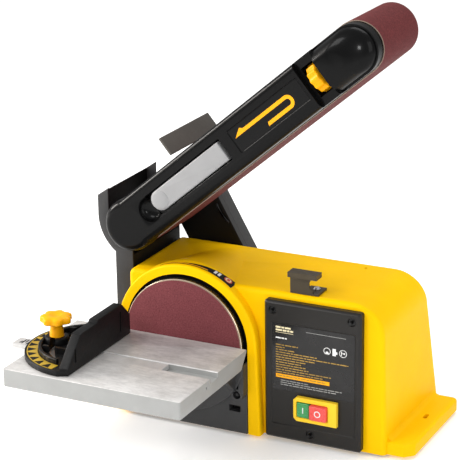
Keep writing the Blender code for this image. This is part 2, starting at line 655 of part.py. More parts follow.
def make_drums():
    start, end = 0.022, 0.118
    drum = [(0, 0.1675), (SHAFT_RADIUS, 0.1675), (SHAFT_RADIUS, end), (DRUM_RADIUS - 0.001, end),
            (DRUM_RADIUS, end - 0.001), (DRUM_RADIUS, start + 0.001), (DRUM_RADIUS - 0.001, start), (0, start)]
    turned("drive_drum", drum, (DRUM_X, 0, DRUM_Z), ALUMINIUM, steps=28)
    bore = 0.0055
    idler = [(DRUM_RADIUS, 0.1150), (DRUM_RADIUS, 0.0270), (bore, 0.0270), (bore, 0.1150)]
    turned("idler_drum", idler, (DRUM_SPACING, 0, 0), ALUMINIUM, ARM, steps=28, closed=True)
    cylinder("idler_axle", (DRUM_SPACING, 0.0212, 0), 0.0986, 0.005, STEEL, ARM, sides=20)


def make_idler_fork():
    cheek = stadium(FORK_START + 0.0105, 0, DRUM_SPACING, 0, 0.010, 8)
    fork = plate("idler_fork", [cheek], 0.0215, 0.0035, DARK_SHEET, ARM)
    far = plate("far_cheek_form", [cheek], 0.1165, 0.0035, parent=ARM)
    web = box("fork_web_form", (FORK_START, 0.0215, -0.008), (FORK_START + 0.0055, 0.1200, 0.008), parent=ARM)
    stem = cylinder("fork_stem_form", (0.250, GUIDE_Y, 0), 0.078, 0.0030, parent=ARM, turn=TO_X, sides=20)
    join(fork, far, web, stem)
    hole = cylinder("axle_hole_cutter", (DRUM_SPACING, 0.01, 0), 0.12, 0.0053, parent=ARM, sides=20)
    cut(fork, hole)


def make_tension_spring():
    """A compression spring between the beam and the fork's web."""
    turns, per_turn, radius = 6, 8, 0.0065
    start, end = GUIDE_WALL + 0.0012, FORK_START - 0.0012
    curve = bpy.data.curves.new("tension_spring", "CURVE")
    curve.dimensions = "3D"
    curve.bevel_depth = 0.0009
    curve.bevel_resolution = 2
    curve.use_fill_caps = True
    spline = curve.splines.new("POLY")
    count = turns * per_turn
    spline.points.add(count)
    for i, point in enumerate(spline.points):
        turn = 2 * math.pi * i / per_turn
        point.co = (start + (end - start) * i / count, radius * math.cos(turn), radius * math.sin(turn), 1)
    item = as_mesh(bpy.data.objects.new("spring_curve", curve), "tension_spring")
    return place(item, STEEL, ARM, (0, 0, 0), (0, GUIDE_Y, 0))


def make_arm_cover():
    cover = bevel(plate("arm_cover", [arm_stadium(COVER_HALF, steps=12)], COVER_FRONT, COVER_BACK - COVER_FRONT,
                        BLACK_PLASTIC, ARM), 0.006, 2, 60)
    step = box("end_step_cutter", (BLOCK_START, -0.03, -0.05), (0.5, 0.0060, 0.05), parent=ARM)
    cap = bevel(cylinder("drum_cap_form", (0, COVER_FRONT, 0), COVER_BACK - COVER_FRONT, 0.0315, parent=ARM,
                         sides=32), 0.006, 2, 60)
    end_block = bevel(plate("end_block_form", [arm_stadium(COVER_HALF - 0.0024, start=0.3515, steps=10)],
                            COVER_FRONT - 0.005, 0.0205, parent=ARM), 0.0066, 2, 60)
    block_cut = box("end_block_cutter", (0.30, -0.03, -0.05), (BLOCK_START, 0.03, 0.05), parent=ARM)
    cut(end_block, block_cut)
    join(cut(cover, step), end_block, cap)
    hollow = plate("cover_room_cutter", [arm_stadium(COVER_HALF - 0.0055, steps=10)], 0.0035, 0.03, parent=ARM)
    lever_room = box("lever_room_cutter", (0.0440, -0.02, -0.0132), (0.1690, 0.0006, 0.0142), parent=ARM)
    finger = cylinder("finger_room_cutter", (0.0400, -0.02, -0.001), 0.0206, 0.0150, parent=ARM, sides=28)
    cam_room = box("cam_room_cutter", (0.1480, -0.01, -0.0132), (0.1690, 0.01, 0.0142), parent=ARM)
    label = box("label_cutter", (0.1840, -0.02, -0.0135), (0.2930, COVER_FRONT + 0.001, 0.0145), parent=ARM)
    knob_room = box("knob_room_cutter", (0.2970, -0.02, -0.04), (BLOCK_START, -0.0005, 0.04), parent=ARM)
    knob_slot = box("knob_slot_cutter", (0.3010, -0.02, -0.0190), (0.3215, 0.02, 0.0190), parent=ARM)
    pin = cylinder("lever_pin_cutter", (LEVER_HINGE, LEVER_Y, -0.0200), 0.04, 0.0018, parent=ARM,
                   turn=(0, 0, 0), sides=16)
    cut(cover, hollow, lever_room, finger, cam_room, label, knob_room, knob_slot, pin)


def make_tension_lever():
    outline = arc(0.0590, 0.0005, 0.0122, 90, 270, 10) + [(0.1655, -0.0117), (0.1655, 0.0127)]
    lever = bevel(plate("tension_lever", [outline], COVER_FRONT - 0.0002, 0.0074, GREY_PLASTIC, ARM), 0.001, 2)
    hole = cylinder("lever_hole_cutter", (LEVER_HINGE, LEVER_Y, -0.03), 0.06, 0.0018, parent=ARM,
                    turn=(0, 0, 0), sides=16)
    cut(lever, hole)
    cylinder("tension_lever_pin", (LEVER_HINGE, LEVER_Y, -0.0190), 0.0380, 0.0015, STEEL, ARM,
             turn=(0, 0, 0), sides=16)


def make_tracking_knob():
    """A scalloped wheel on a screw that runs along the arm."""
    start, depth = 0.3045, 0.0080
    knob = plate("tracking_knob", [lobed(0.0170, 0.0016, 12, 36)], 0, 0.0135, YELLOW_PLASTIC, ARM, "XY")
    knob.rotation_euler = TO_X
    knob.location = (start + 0.00675, depth, 0)
    bevel(knob, 0.001, 1)
    shank = cylinder("tracking_shank_form", (0.2880, depth, 0), 0.0310, 0.0025, parent=ARM, turn=TO_X, sides=16)
    join(knob, shank)


def make_work_rest():
    low, high, near, far = 0.0350, 0.0585, 0.012, 0.1330
    rest = bevel(box("work_rest", (0.0930, near, low), (0.0960, far, high), DARK_SHEET, ARM), 0.0006, 1)
    leg = box("rest_leg_form", (0.0820, 0.1303, -0.0140), (0.1080, 0.1333, 0.0400), parent=ARM)
    join(rest, leg)
    spots = {"upper": 0.0120, "lower": -0.0060}
    cut(rest, *[cylinder(f"rest_hole_cutter_{name}", (0.0950, 0.12, z), 0.03, 0.0024, parent=ARM, sides=16)
                for name, z in spots.items()])
    for name, z in spots.items():
        screw(f"rest_screw_{name}", (0.0950, 0.1336, z), STEEL, length=0.0030, parent=ARM,
              turn=(math.radians(90), 0, 0))


# ---- table ---------------------------------------------------------------------------------------
TABLE = empty("table_pivot", (0, PIVOT_Y, PIVOT_Z))


def world(parent, low, high):
    """Corners of a box given in the object's frame, as seen from a parent without rotation."""
    shift = parent.location
    return [a - b for a, b in zip(low, shift)], [a - b for a, b in zip(high, shift)]


def table_box(name, low, high, mat=None):
    low, high = world(TABLE, low, high)
    return box(name, low, high, mat, TABLE)


def table_plate(name, outline, start, thickness):
    return plate(name, [moved(outline, -PIVOT_Y, -PIVOT_Z)], start, thickness, parent=TABLE, plane="YZ")


def make_table():
    bottom = TABLE_TOP - TABLE_THICKNESS
    side = [(-HALF_DEPTH, bottom), (-0.0310, bottom), (TABLE_REAR, TABLE_TOP - 0.003),
            (TABLE_REAR, TABLE_TOP), (-HALF_DEPTH, TABLE_TOP)]
    table = plate("table", [moved(side, -PIVOT_Y, -PIVOT_Z)], TABLE_LEFT, TABLE_RIGHT - TABLE_LEFT, ALUMINIUM,
                  TABLE, "YZ")
    bevel(table, 0.0012, 1, 30)
    skin = TABLE_TOP - TABLE_SKIN
    room_front = table_box("room_cutter_front", (TABLE_LEFT + 0.006, -HALF_DEPTH + 0.006, 0.05),
                           (TABLE_RIGHT - 0.006, SLOT_Y - 0.016, skin))
    room_rear = table_box("room_cutter_rear", (TABLE_LEFT + 0.006, SLOT_Y + 0.0125, 0.05),
                          (TABLE_RIGHT - 0.006, -0.0335, skin))
    slot = table_box("miter_slot_cutter", (-0.3, SLOT_Y - SLOT_WIDTH / 2, TABLE_TOP - SLOT_DEPTH),
                     (0.1, SLOT_Y + SLOT_WIDTH / 2, TABLE_TOP + 0.01))
    notches = [table_box(f"notch_cutter_{i}", (x0 - 0.002, -0.060, 0.085), (x1 + 0.002, -0.010, 0.1085))
               for i, (x0, x1) in enumerate((RIGHT_LUG, LEFT_ARM))]
    cut(table, room_front, room_rear, slot, *notches)
    ear = arc(PIVOT_Y, PIVOT_Z, 0.008, 180, 360, 10) + [(PIVOT_Y + 0.008, skin + 0.002),
                                                       (PIVOT_Y - 0.008, skin + 0.002)]
    right_ear = table_plate("right_ear_form", ear, 0.0040, 0.0055)
    sector = arc(PIVOT_Y, PIVOT_Z, 0.041, -176, -100, 14) + [(PIVOT_Y + 0.008, PIVOT_Z),
                                                            (PIVOT_Y + 0.008, skin + 0.002),
                                                            (PIVOT_Y - 0.041, skin + 0.002)]
    left_ear = table_plate("left_ear_form", sector, -0.1535, 0.0050)
    join(table, right_ear, left_ear)
    tilt_slot = arc(PIVOT_Y, PIVOT_Z, LOCK_RADIUS + 0.0036, LOCK_ANGLE - TABLE_TILT - 7, LOCK_ANGLE + 7, 12)
    tilt_slot += arc(PIVOT_Y, PIVOT_Z, LOCK_RADIUS - 0.0036, LOCK_ANGLE + 7, LOCK_ANGLE - TABLE_TILT - 7, 12)
    holes = [cylinder(f"ear_hole_cutter_{i}", (x, 0, 0), 0.02, BOLT_RADIUS + 0.0005, parent=TABLE, turn=TO_X,
                      sides=24) for i, x in enumerate((-0.16, -0.005))]
    cut(table, table_plate("tilt_slot_cutter", tilt_slot, -0.17, 0.03), *holes)


def bolt(name, x0, x1, y, z, head_left):
    """A cross bolt with a low round head at one end."""
    length = x1 - x0
    if head_left:
        profile = [(0, length), (BOLT_RADIUS, length), (BOLT_RADIUS, 0.003), (0.0055, 0.003), (0.0055, 0),
                   (0, 0)]
    else:
        profile = [(0, length), (0.0055, length), (0.0055, length - 0.003), (BOLT_RADIUS, length - 0.003),
                   (BOLT_RADIUS, 0), (0, 0)]
    turned(name, profile, (x0, y, z), STEEL, turn=TO_X, steps=24)


def make_table_hardware():
    bolt("table_pivot_bolt_right", 0.0025, 0.0213, PIVOT_Y, PIVOT_Z, False)
    bolt("table_pivot_bolt_left", -0.1568, -0.1385, PIVOT_Y, PIVOT_Z, True)
    knob = plate("table_lock_knob", [lobed(0.0140, 0.0022, 6, 36)], 0, 0.010, BLACK_PLASTIC, None, "XY")
    knob.rotation_euler = TO_X
    knob.location = (-0.1685, LOCK_Y, LOCK_Z)
    bevel(knob, 0.0015, 1)
    stem = cylinder("lock_stem_form", (-0.1640, LOCK_Y, LOCK_Z), 0.0100, 0.0060, turn=TO_X, sides=20)
    shank = cylinder("lock_shank_form", (-0.1640, LOCK_Y, LOCK_Z), 0.0250, 0.0030, turn=TO_X, sides=20)
    join(knob, stem, shank)


# ---- miter gauge -----------------------------------------------------------------------------------
HEAD_BOTTOM = TABLE_TOP + 0.0005


def make_miter_bar():
    top = TABLE_TOP - 0.0002
    bar = box("miter_bar", (-HALF_WIDTH, SLOT_Y - 0.0094, TABLE_TOP - SLOT_DEPTH + 0.0004),
              (-0.0290, SLOT_Y + 0.0094, top), ALUMINIUM)
    holes = [cylinder(f"bar_hole_cutter_{i}", (x, SLOT_Y, 0.100), 0.03, 0.0024, turn=(0, 0, 0), sides=16)
             for i, x in enumerate((MITER_X - MITER_KNOB_RADIUS, MITER_X))]
    cut(bevel(bar, 0.0006, 1), *holes)


def make_miter_head():
    thickness = 0.0060
    outline = arc(MITER_X, SLOT_Y, MITER_RADIUS, 90, 270, 20) + [(MITER_X + 0.011, SLOT_Y - 0.070),
                                                                (MITER_X + 0.011, SLOT_Y + 0.070)]
    head = plate("miter_head", [outline], HEAD_BOTTOM, thickness, BLACK_PLASTIC, plane="XY")
    low = SLOT_Y - FENCE_LENGTH / 2
    high = SLOT_Y + FENCE_LENGTH / 2
    top = TABLE_TOP + FENCE_HEIGHT
    fence_outline = [(low, HEAD_BOTTOM), (high, HEAD_BOTTOM), (high, top - 0.018), (high - 0.018, top),
                     (low + 0.030, top), (low, HEAD_BOTTOM + 0.006)]
    fence = plate("fence_form", [fence_outline], MITER_X, 0.012, plane="YZ")
    hub = cylinder("hub_ring_form", (MITER_X - MITER_KNOB_RADIUS, SLOT_Y, HEAD_BOTTOM), 0.014, 0.0138,
                   turn=(0, 0, 0), sides=28)
    wall = arc(MITER_X, SLOT_Y, 0.060, 100, 260, 14) + arc(MITER_X, SLOT_Y, 0.056, 260, 100, 14)
    rail = plate("rail_form", [wall], HEAD_BOTTOM, 0.012, plane="XY")
    ribs = [box(f"rib_form_{i}", (MITER_X - 0.045, SLOT_Y + y - 0.002, HEAD_BOTTOM),
                (MITER_X + 0.002, SLOT_Y + y + 0.002, HEAD_BOTTOM + 0.0132)) for i, y in enumerate((-0.030, 0.030))]
    join(head, fence, hub, rail, *ribs)
    swing = arc(MITER_X, SLOT_Y, MITER_KNOB_RADIUS + 0.0034, 117, 243, 12)
    swing += arc(MITER_X, SLOT_Y, MITER_KNOB_RADIUS - 0.0034, 243, 117, 12)
    slot = plate("swing_slot_cutter", [swing], HEAD_BOTTOM - 0.01, 0.05, plane="XY")
    band = arc(MITER_X, SLOT_Y, 0.0735, 96, 264, 18) + arc(MITER_X, SLOT_Y, 0.0605, 264, 96, 18)
    seat = plate("scale_seat_cutter", [band], HEAD_BOTTOM + thickness - 0.0012, 0.02, plane="XY")
    grooves = [box(f"groove_cutter_{i}", (MITER_X + 0.0110, SLOT_Y + y - 0.0015, HEAD_BOTTOM + 0.010),
                   (MITER_X + 0.02, SLOT_Y + y + 0.0015, top - 0.008)) for i, y in enumerate((-0.054, 0.048))]
    pivot = cylinder("pivot_hole_cutter", (MITER_X, SLOT_Y, HEAD_BOTTOM - 0.01), 0.014, 0.0028, turn=(0, 0, 0),
                     sides=16)
    cut(head, slot, seat, pivot, *grooves)
    scale = arc(MITER_X, SLOT_Y, 0.0732, 97, 263, 18) + arc(MITER_X, SLOT_Y, 0.0608, 263, 97, 18)
    plate("miter_scale", [scale], HEAD_BOTTOM + thickness - 0.0009, 0.0009, SCALE_YELLOW, plane="XY")


def make_miter_knob():
    x = MITER_X - MITER_KNOB_RADIUS
    knob = bevel(plate("miter_knob", [moved(lobed(0.0200, 0.0045, 7, 42), x, SLOT_Y)], TABLE_TOP + 0.032,
                       0.0110, YELLOW_PLASTIC, plane="XY"), 0.0015, 1)
    base = TABLE_TOP + 0.0150
    stem = cylinder("stem_form", (x, SLOT_Y, base), 0.019, 0.0085, turn=(0, 0, 0), sides=24, tip=0.0075)
    stud = cylinder("stud_form", (x, SLOT_Y, TABLE_TOP - 0.006), 0.030, 0.0020, turn=(0, 0, 0), sides=16)
    join(knob, stem, stud)


# ---- switch ------------------------------------------------------------------------------------------
SWITCH_X = (0.0870, 0.1410)
SWITCH_Z = (0.0340, 0.0640)


def make_switch_panel():
    panel = bevel(box("switch_panel", (PANEL_LEFT, PANEL_FRONT, PANEL_BOTTOM),
                      (PANEL_RIGHT, BASE_FRONT - MESH_GAP, PANEL_TOP), DARK_PANEL), 0.0022, 2)
    field = bevel(box("panel_field_cutter", (0.0575, -0.02, 0.0240), (0.1620, PANEL_FRONT + 0.0010, 0.1500)),
                  0.003, 2)
    opening = box("switch_opening_cutter", (SWITCH_X[0] + 0.003, -0.02, SWITCH_Z[0] + 0.003),
                  (SWITCH_X[1] - 0.003, 0.02, SWITCH_Z[1] - 0.003))
    spots = {"left": (0.0595, 0.1645), "right": (0.1570, 0.1645), "bottom": (0.1060, 0.0175)}
    holes = [cylinder(f"panel_hole_cutter_{name}", (x, -0.01, z), 0.03, 0.0024, sides=16)
             for name, (x, z) in spots.items()]
    sinks = [cylinder(f"panel_sink_cutter_{name}", (x, -0.01, z), 0.0090, 0.0048, sides=20)
             for name, (x, z) in spots.items()]
    cut(panel, field, opening, *holes, *sinks)
    for name, (x, z) in spots.items():
        screw(f"panel_screw_{name}", (x, PANEL_FRONT + 0.0017, z), STEEL, length=0.0060)


def make_switch():
    x0, x1 = SWITCH_X
    z0, z1 = SWITCH_Z
    y = PANEL_FRONT + 0.0010 - MESH_GAP
    bezel = bevel(box("switch_bezel", (x0, y - 0.0060, z0), (x1, y, z1), YELLOW_PLASTIC), 0.001, 2)
    window = box("bezel_cutter", (x0 + 0.004, -0.03, z0 + 0.005), (x1 - 0.0105, 0.01, z1 - 0.005))
    cut(bezel, window)
    body = box("switch_body", (x0 + 0.0035, y + MESH_GAP, z0 + 0.0035), (x1 - 0.0035, 0.040, z1 - 0.0035),
               BLACK_PLASTIC)
    wells = box("switch_well_cutter", (x0 + 0.0045, -0.02, z0 + 0.0055), (x1 - 0.0110, 0.0080, z1 - 0.0055))
    cut(body, wells)
    gap = 0.0006
    split = x0 + 0.0210
    low, high = z0 + 0.0055 + gap, z1 - 0.0055 - gap
    bevel(box("green_button", (x0 + 0.0045 + gap, y - 0.0070, low), (split - gap, 0.0030, high), GREEN), 0.0008, 2)
    bevel(box("red_button", (split + gap, y - 0.0100, low), (x1 - 0.0110 - gap, 0.0030, high), RED), 0.0008, 2)


def main():
    make_base_housing()
    make_base_plate()
    make_feet()
    make_rest_hook()
    make_cable_gland()
    make_disc_guard()
    make_guard_screws()
    make_motor()
    make_fan()
    make_disc()
    make_drive()
    make_arm_bracket()
    make_pulley_cover()
    make_dust_chute()
    make_arm_frame()
    make_sanding_belt()
    make_drums()
    make_idler_fork()
    make_tension_spring()
    make_arm_cover()
    make_tension_lever()
    make_tracking_knob()
    make_work_rest()
    make_table()
    make_table_hardware()
    make_miter_bar()
    make_miter_head()
    make_miter_knob()
    make_switch_panel()
    make_switch()
    bpy.context.view_layer.update()


main()
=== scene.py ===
"""Looks for the belt disc sander: camera, studio, materials and the fine surfaces of its pieces."""
import math

import bmesh
import bpy
from mathutils import Matrix, Vector


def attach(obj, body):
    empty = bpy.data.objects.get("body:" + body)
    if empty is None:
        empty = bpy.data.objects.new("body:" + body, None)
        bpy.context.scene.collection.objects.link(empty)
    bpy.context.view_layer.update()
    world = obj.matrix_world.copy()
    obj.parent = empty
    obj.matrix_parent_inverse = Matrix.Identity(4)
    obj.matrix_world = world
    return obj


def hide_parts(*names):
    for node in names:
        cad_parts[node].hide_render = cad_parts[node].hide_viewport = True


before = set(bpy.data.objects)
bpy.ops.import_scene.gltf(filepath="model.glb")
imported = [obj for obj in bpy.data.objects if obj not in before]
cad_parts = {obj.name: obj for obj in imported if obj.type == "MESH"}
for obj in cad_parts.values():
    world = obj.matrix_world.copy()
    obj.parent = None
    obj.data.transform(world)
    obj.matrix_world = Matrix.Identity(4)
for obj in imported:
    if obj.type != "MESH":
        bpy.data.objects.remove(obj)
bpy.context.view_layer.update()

# ---- numbers shared with the CAD, in metres ------------------------------------------------------
BASE_LEFT, BASE_RIGHT, BASE_FRONT, BASE_TOP, BASE_BOTTOM = -0.133, 0.192, 0.007, 0.183, 0.004
BASE_REAR_TOP, HALF_DEPTH, HALF_WIDTH = 0.138, 0.18, 0.2255
FLANGE_TOP = 0.019
DISC_X, DISC_Z, DISC_RADIUS, DISC_FACE = -0.0515, 0.111, 0.075, -0.0135
SHROUD_FRONT, SHROUD_OUTER, SHROUD_INNER = -0.0055, 0.091, 0.08
DISH_RADIUS = 0.084
TABLE_LEFT, TABLE_RIGHT, TABLE_REAR, TABLE_TOP, TABLE_THICKNESS = -0.1925, 0.0325, -0.016, 0.116, 0.022
GUARD_SCREWS = {"left": (DISC_X - 0.0735, 0.046), "right": (DISC_X + 0.07, 0.056)}
PIVOT_Y, PIVOT_Z, LOCK_RADIUS, LOCK_ANGLE, TABLE_TILT = -0.0405, 0.101, 0.034, -115, 45
LOCK_Y = PIVOT_Y + LOCK_RADIUS * math.cos(math.radians(LOCK_ANGLE))
LOCK_Z = PIVOT_Z + LOCK_RADIUS * math.sin(math.radians(LOCK_ANGLE))
SLOT_Y, SLOT_WIDTH, SLOT_DEPTH = -0.099, 0.0194, 0.007
BAR_TOP = TABLE_TOP - 0.0011
MITER_X, MITER_RADIUS, KNOB_RADIUS = -0.1245, 0.076, 0.045
DRUM_X, DRUM_Z, SPACING, DRUM_RADIUS, BELT_OUTER = -0.1245, 0.24, 0.362, 0.029, 0.0303
ARM = Matrix.Translation((DRUM_X, 0, DRUM_Z)) @ Matrix.Rotation(math.radians(-40), 4, "Y")
STAY = Matrix.Identity(4)
BELT_FRONT, BELT_REAR, MESH_GAP = 0.02, 0.12, 0.0003
WALL, PULLEY_RADIUS, PULLEY_OFFSET = 0.0025, 0.033, 0.004
COVER_RADIUS, COVER_FRONT, COVER_BACK, BLOCK_START = 0.029, -0.008, 0.018, 0.324
FENCE_HEIGHT, HEAD_THICKNESS, CLEARANCE = 0.043, 0.006, 0.0005

# ---- numbers of the looks alone -----------------------------------------------------------------
FILM = 0.00012
SIGN_ANGLE, SIGN_DEPTH = 56.6, 0.0075
FOCAL_PIXELS, IMAGE_PIXELS, SENSOR = 1900, 460, 36
CAMERA_PLACE, CAMERA_TURN = (0.9197, -1.8256, 0.9468), (26.6, 18.8, -0.8)


# ---- node materials ------------------------------------------------------------------------------
def put(tree, kind, inputs=None, **props):
    """Add a node; an input that is given a socket is linked to it."""
    node = tree.nodes.new(kind)
    for key, value in props.items():
        setattr(node, key, value)
    for key, value in (inputs or {}).items():
        if isinstance(value, bpy.types.NodeSocket):
            tree.links.new(value, node.inputs[key])
        else:
            node.inputs[key].default_value = value
    return node


def place(tree):
    return put(tree, "ShaderNodeTexCoord").outputs["Object"]


def calc(tree, operation, one, other):
    return put(tree, "ShaderNodeMath", {0: one, 1: other}, operation=operation).outputs[0]


def mix(tree, amount, one, other, **props):
    """Mix two colours; 0, 6 and 7 are the node's inputs for the factor and the colours."""
    return put(tree, "ShaderNodeMix", {0: amount, 6: one, 7: other}, data_type="RGBA", **props).outputs[2]


def noise(tree, scale, detail=3, stretch=(1, 1, 1), rough=0.55):
    where = place(tree)
    placed = put(tree, "ShaderNodeMapping", {"Vector": where, "Scale": stretch})
    return put(tree, "ShaderNodeTexNoise", {"Vector": placed.outputs[0], "Scale": scale, "Detail": detail,
                                            "Roughness": rough}).outputs[0]


def ramp(tree, fac, low, high, first, last):
    """Map a factor between two limits onto two values or two colours."""
    node = put(tree, "ShaderNodeValToRGB", {"Fac": fac})
    node.color_ramp.elements[0].position = low
    node.color_ramp.elements[1].position = high
    for element, value in zip(node.color_ramp.elements, (first, last)):
        element.color = (*value, 1) if isinstance(value, tuple) else (value, value, value, 1)
    return node.outputs[0]


def bump(tree, height, strength, distance, under=None):
    inputs = {"Height": height, "Strength": strength, "Distance": distance}
    if under is not None:
        inputs["Normal"] = under
    return put(tree, "ShaderNodeBump", inputs).outputs[0]


def blank(name, **values):
    mat = bpy.data.materials.new(name)
    mat.use_nodes = True
    shader = mat.node_tree.nodes["Principled BSDF"]
    for key, value in values.items():
        shader.inputs[key.replace("_", " ")].default_value = value
    return mat, mat.node_tree, shader


def link(tree, shader, **sockets):
    for key, socket in sockets.items():
        tree.links.new(socket, shader.inputs[key.replace("_", " ")])


def shade_of(color, amount):
    return tuple(min(1.0, c * amount) for c in color)


def moulded(name, color, rough, grain=1800, depth=0.00003, spread=0.08, metallic=0.0, coat=0.0, blotch=25,
            vary=0.12, strength=0.5, gloss=0.5):
    """A painted, moulded or cast surface: a fine grain, slow changes of colour and of gloss."""
    mat, tree, shader = blank(name, Metallic=metallic, Coat_Weight=coat, Coat_Roughness=0.12)
    shader.inputs["Specular IOR Level"].default_value = gloss
    slow = noise(tree, blotch, 4)
    fine = noise(tree, grain, 2)
    rub = noise(tree, 260, 5)
    link(tree, shader, Base_Color=ramp(tree, slow, 0.3, 0.7, shade_of(color, 1 - vary),
                                       shade_of(color, 1 + vary)),
         Roughness=ramp(tree, rub, 0.3, 0.7, max(0.03, rough - spread), min(1.0, rough + spread)),
         Normal=bump(tree, fine, strength, depth))
    return mat


def make_abrasive(name, color, light, dark, weave=False):
    """Grit of about a third of a millimetre in a coloured bond on cloth."""
    mat, tree, shader = blank(name, Roughness=0.78)
    shader.inputs["Specular IOR Level"].default_value = 0.12
    where = place(tree)
    cells = put(tree, "ShaderNodeTexVoronoi", {"Vector": where, "Scale": 2100.0})
    grit = ramp(tree, cells.outputs["Distance"], 0.05, 0.75, light, dark)
    speckle = ramp(tree, noise(tree, 520, 6, rough=0.75), 0.36, 0.64, shade_of(color, 0.62),
                   shade_of(color, 1.5))
    cloudy = ramp(tree, noise(tree, 55, 5, rough=0.7), 0.32, 0.68, 0.84, 1.0)
    slow = mix(tree, 1.0, speckle, cloudy, blend_type="MULTIPLY")
    mixed = mix(tree, 0.3, slow, grit)
    raised = bump(tree, cells.outputs["Distance"], 0.7, 0.00012)
    if weave:
        line = put(tree, "ShaderNodeTexWave",
                   {"Vector": where, "Scale": 160.0, "Distortion": 2.0}).outputs[1]
        raised = bump(tree, line, 0.12, 0.0002, raised)
    link(tree, shader, Base_Color=mixed, Normal=raised)
    return mat


def make_table_metal():
    """A cast table: its ground top shows grey clouds and fine scratches, its sides a pale paint."""
    mat, tree, shader = blank("table_metal")
    geometry = put(tree, "ShaderNodeNewGeometry")
    normal = put(tree, "ShaderNodeSeparateXYZ", {"Vector": geometry.outputs["Normal"]}).outputs["Z"]
    where = place(tree)
    height = put(tree, "ShaderNodeSeparateXYZ", {"Vector": where}).outputs["Z"]
    # Faces leaning up, the edge rounds and the slot's chamfers too, take the ground metal: a real ground
    # finish on the top, a painted highlight on the rounds and chamfers.
    flat = calc(tree, "GREATER_THAN", normal, 0.3)
    high = calc(tree, "GREATER_THAN", height, TABLE_TOP - 0.0014)
    top = calc(tree, "MULTIPLY", flat, high)
    clouds = noise(tree, 30, 9, (0.8, 1.25, 1), 0.72)
    brushed = noise(tree, 900, 3, (0.1, 1, 1))
    scratch = noise(tree, 260, 6, (0.22, 1.0, 1), 0.7)
    ground = ramp(tree, clouds, 0.34, 0.66, (0.5, 0.488, 0.475), (0.79, 0.775, 0.76))
    lines = ramp(tree, scratch, 0.38, 0.62, 0.8, 1.0)
    lined = mix(tree, 0.75, ground, lines, blend_type="MULTIPLY")
    paint = ramp(tree, noise(tree, 60, 3), 0.3, 0.7, (0.335, 0.337, 0.328), (0.36, 0.364, 0.356))
    color = mix(tree, top, paint, lined)
    metal = calc(tree, "MULTIPLY", top, 0.25)
    rough = ramp(tree, clouds, 0.3, 0.7, 0.52, 0.36)
    link(tree, shader, Base_Color=color, Metallic=metal, Roughness=rough,
         Normal=bump(tree, brushed, 0.25, 0.00002))
    return mat


def make_brushed(name, color, rough, stretch=(0.05, 1, 1), metallic=1.0):
    mat, tree, shader = blank(name, Metallic=metallic)
    lines = noise(tree, 1100, 3, stretch)
    slow = noise(tree, 45, 5)
    link(tree, shader, Base_Color=ramp(tree, slow, 0.3, 0.7, shade_of(color, 0.8), shade_of(color, 1.12)),
         Roughness=ramp(tree, lines, 0.3, 0.7, rough - 0.08, rough + 0.1),
         Normal=bump(tree, lines, 0.3, 0.00002))
    return mat


def make_turned_metal(name, color, rough):
    """Concentric tool marks about the disc's axis."""
    mat, tree, shader = blank(name, Metallic=1.0)
    where = place(tree)
    moved = put(tree, "ShaderNodeMapping", {"Vector": where, "Location": (-DISC_X, 0, -DISC_Z)}).outputs[0]
    rings = put(tree, "ShaderNodeTexWave", {"Vector": moved, "Scale": 700.0, "Distortion": 0.6},
                wave_type="RINGS", rings_direction="Y").outputs[1]
    link(tree, shader, Base_Color=ramp(tree, noise(tree, 70, 4), 0.3, 0.7, shade_of(color, 0.85), color),
         Roughness=ramp(tree, rings, 0.2, 0.8, rough - 0.06, rough + 0.08),
         Normal=bump(tree, rings, 0.2, 0.00002))
    return mat


def printed(name, color, vary=0.03):
    return moulded("printed_" + name, color, 0.35, 900, 0.00001, 0.04, vary=vary, gloss=0.2)


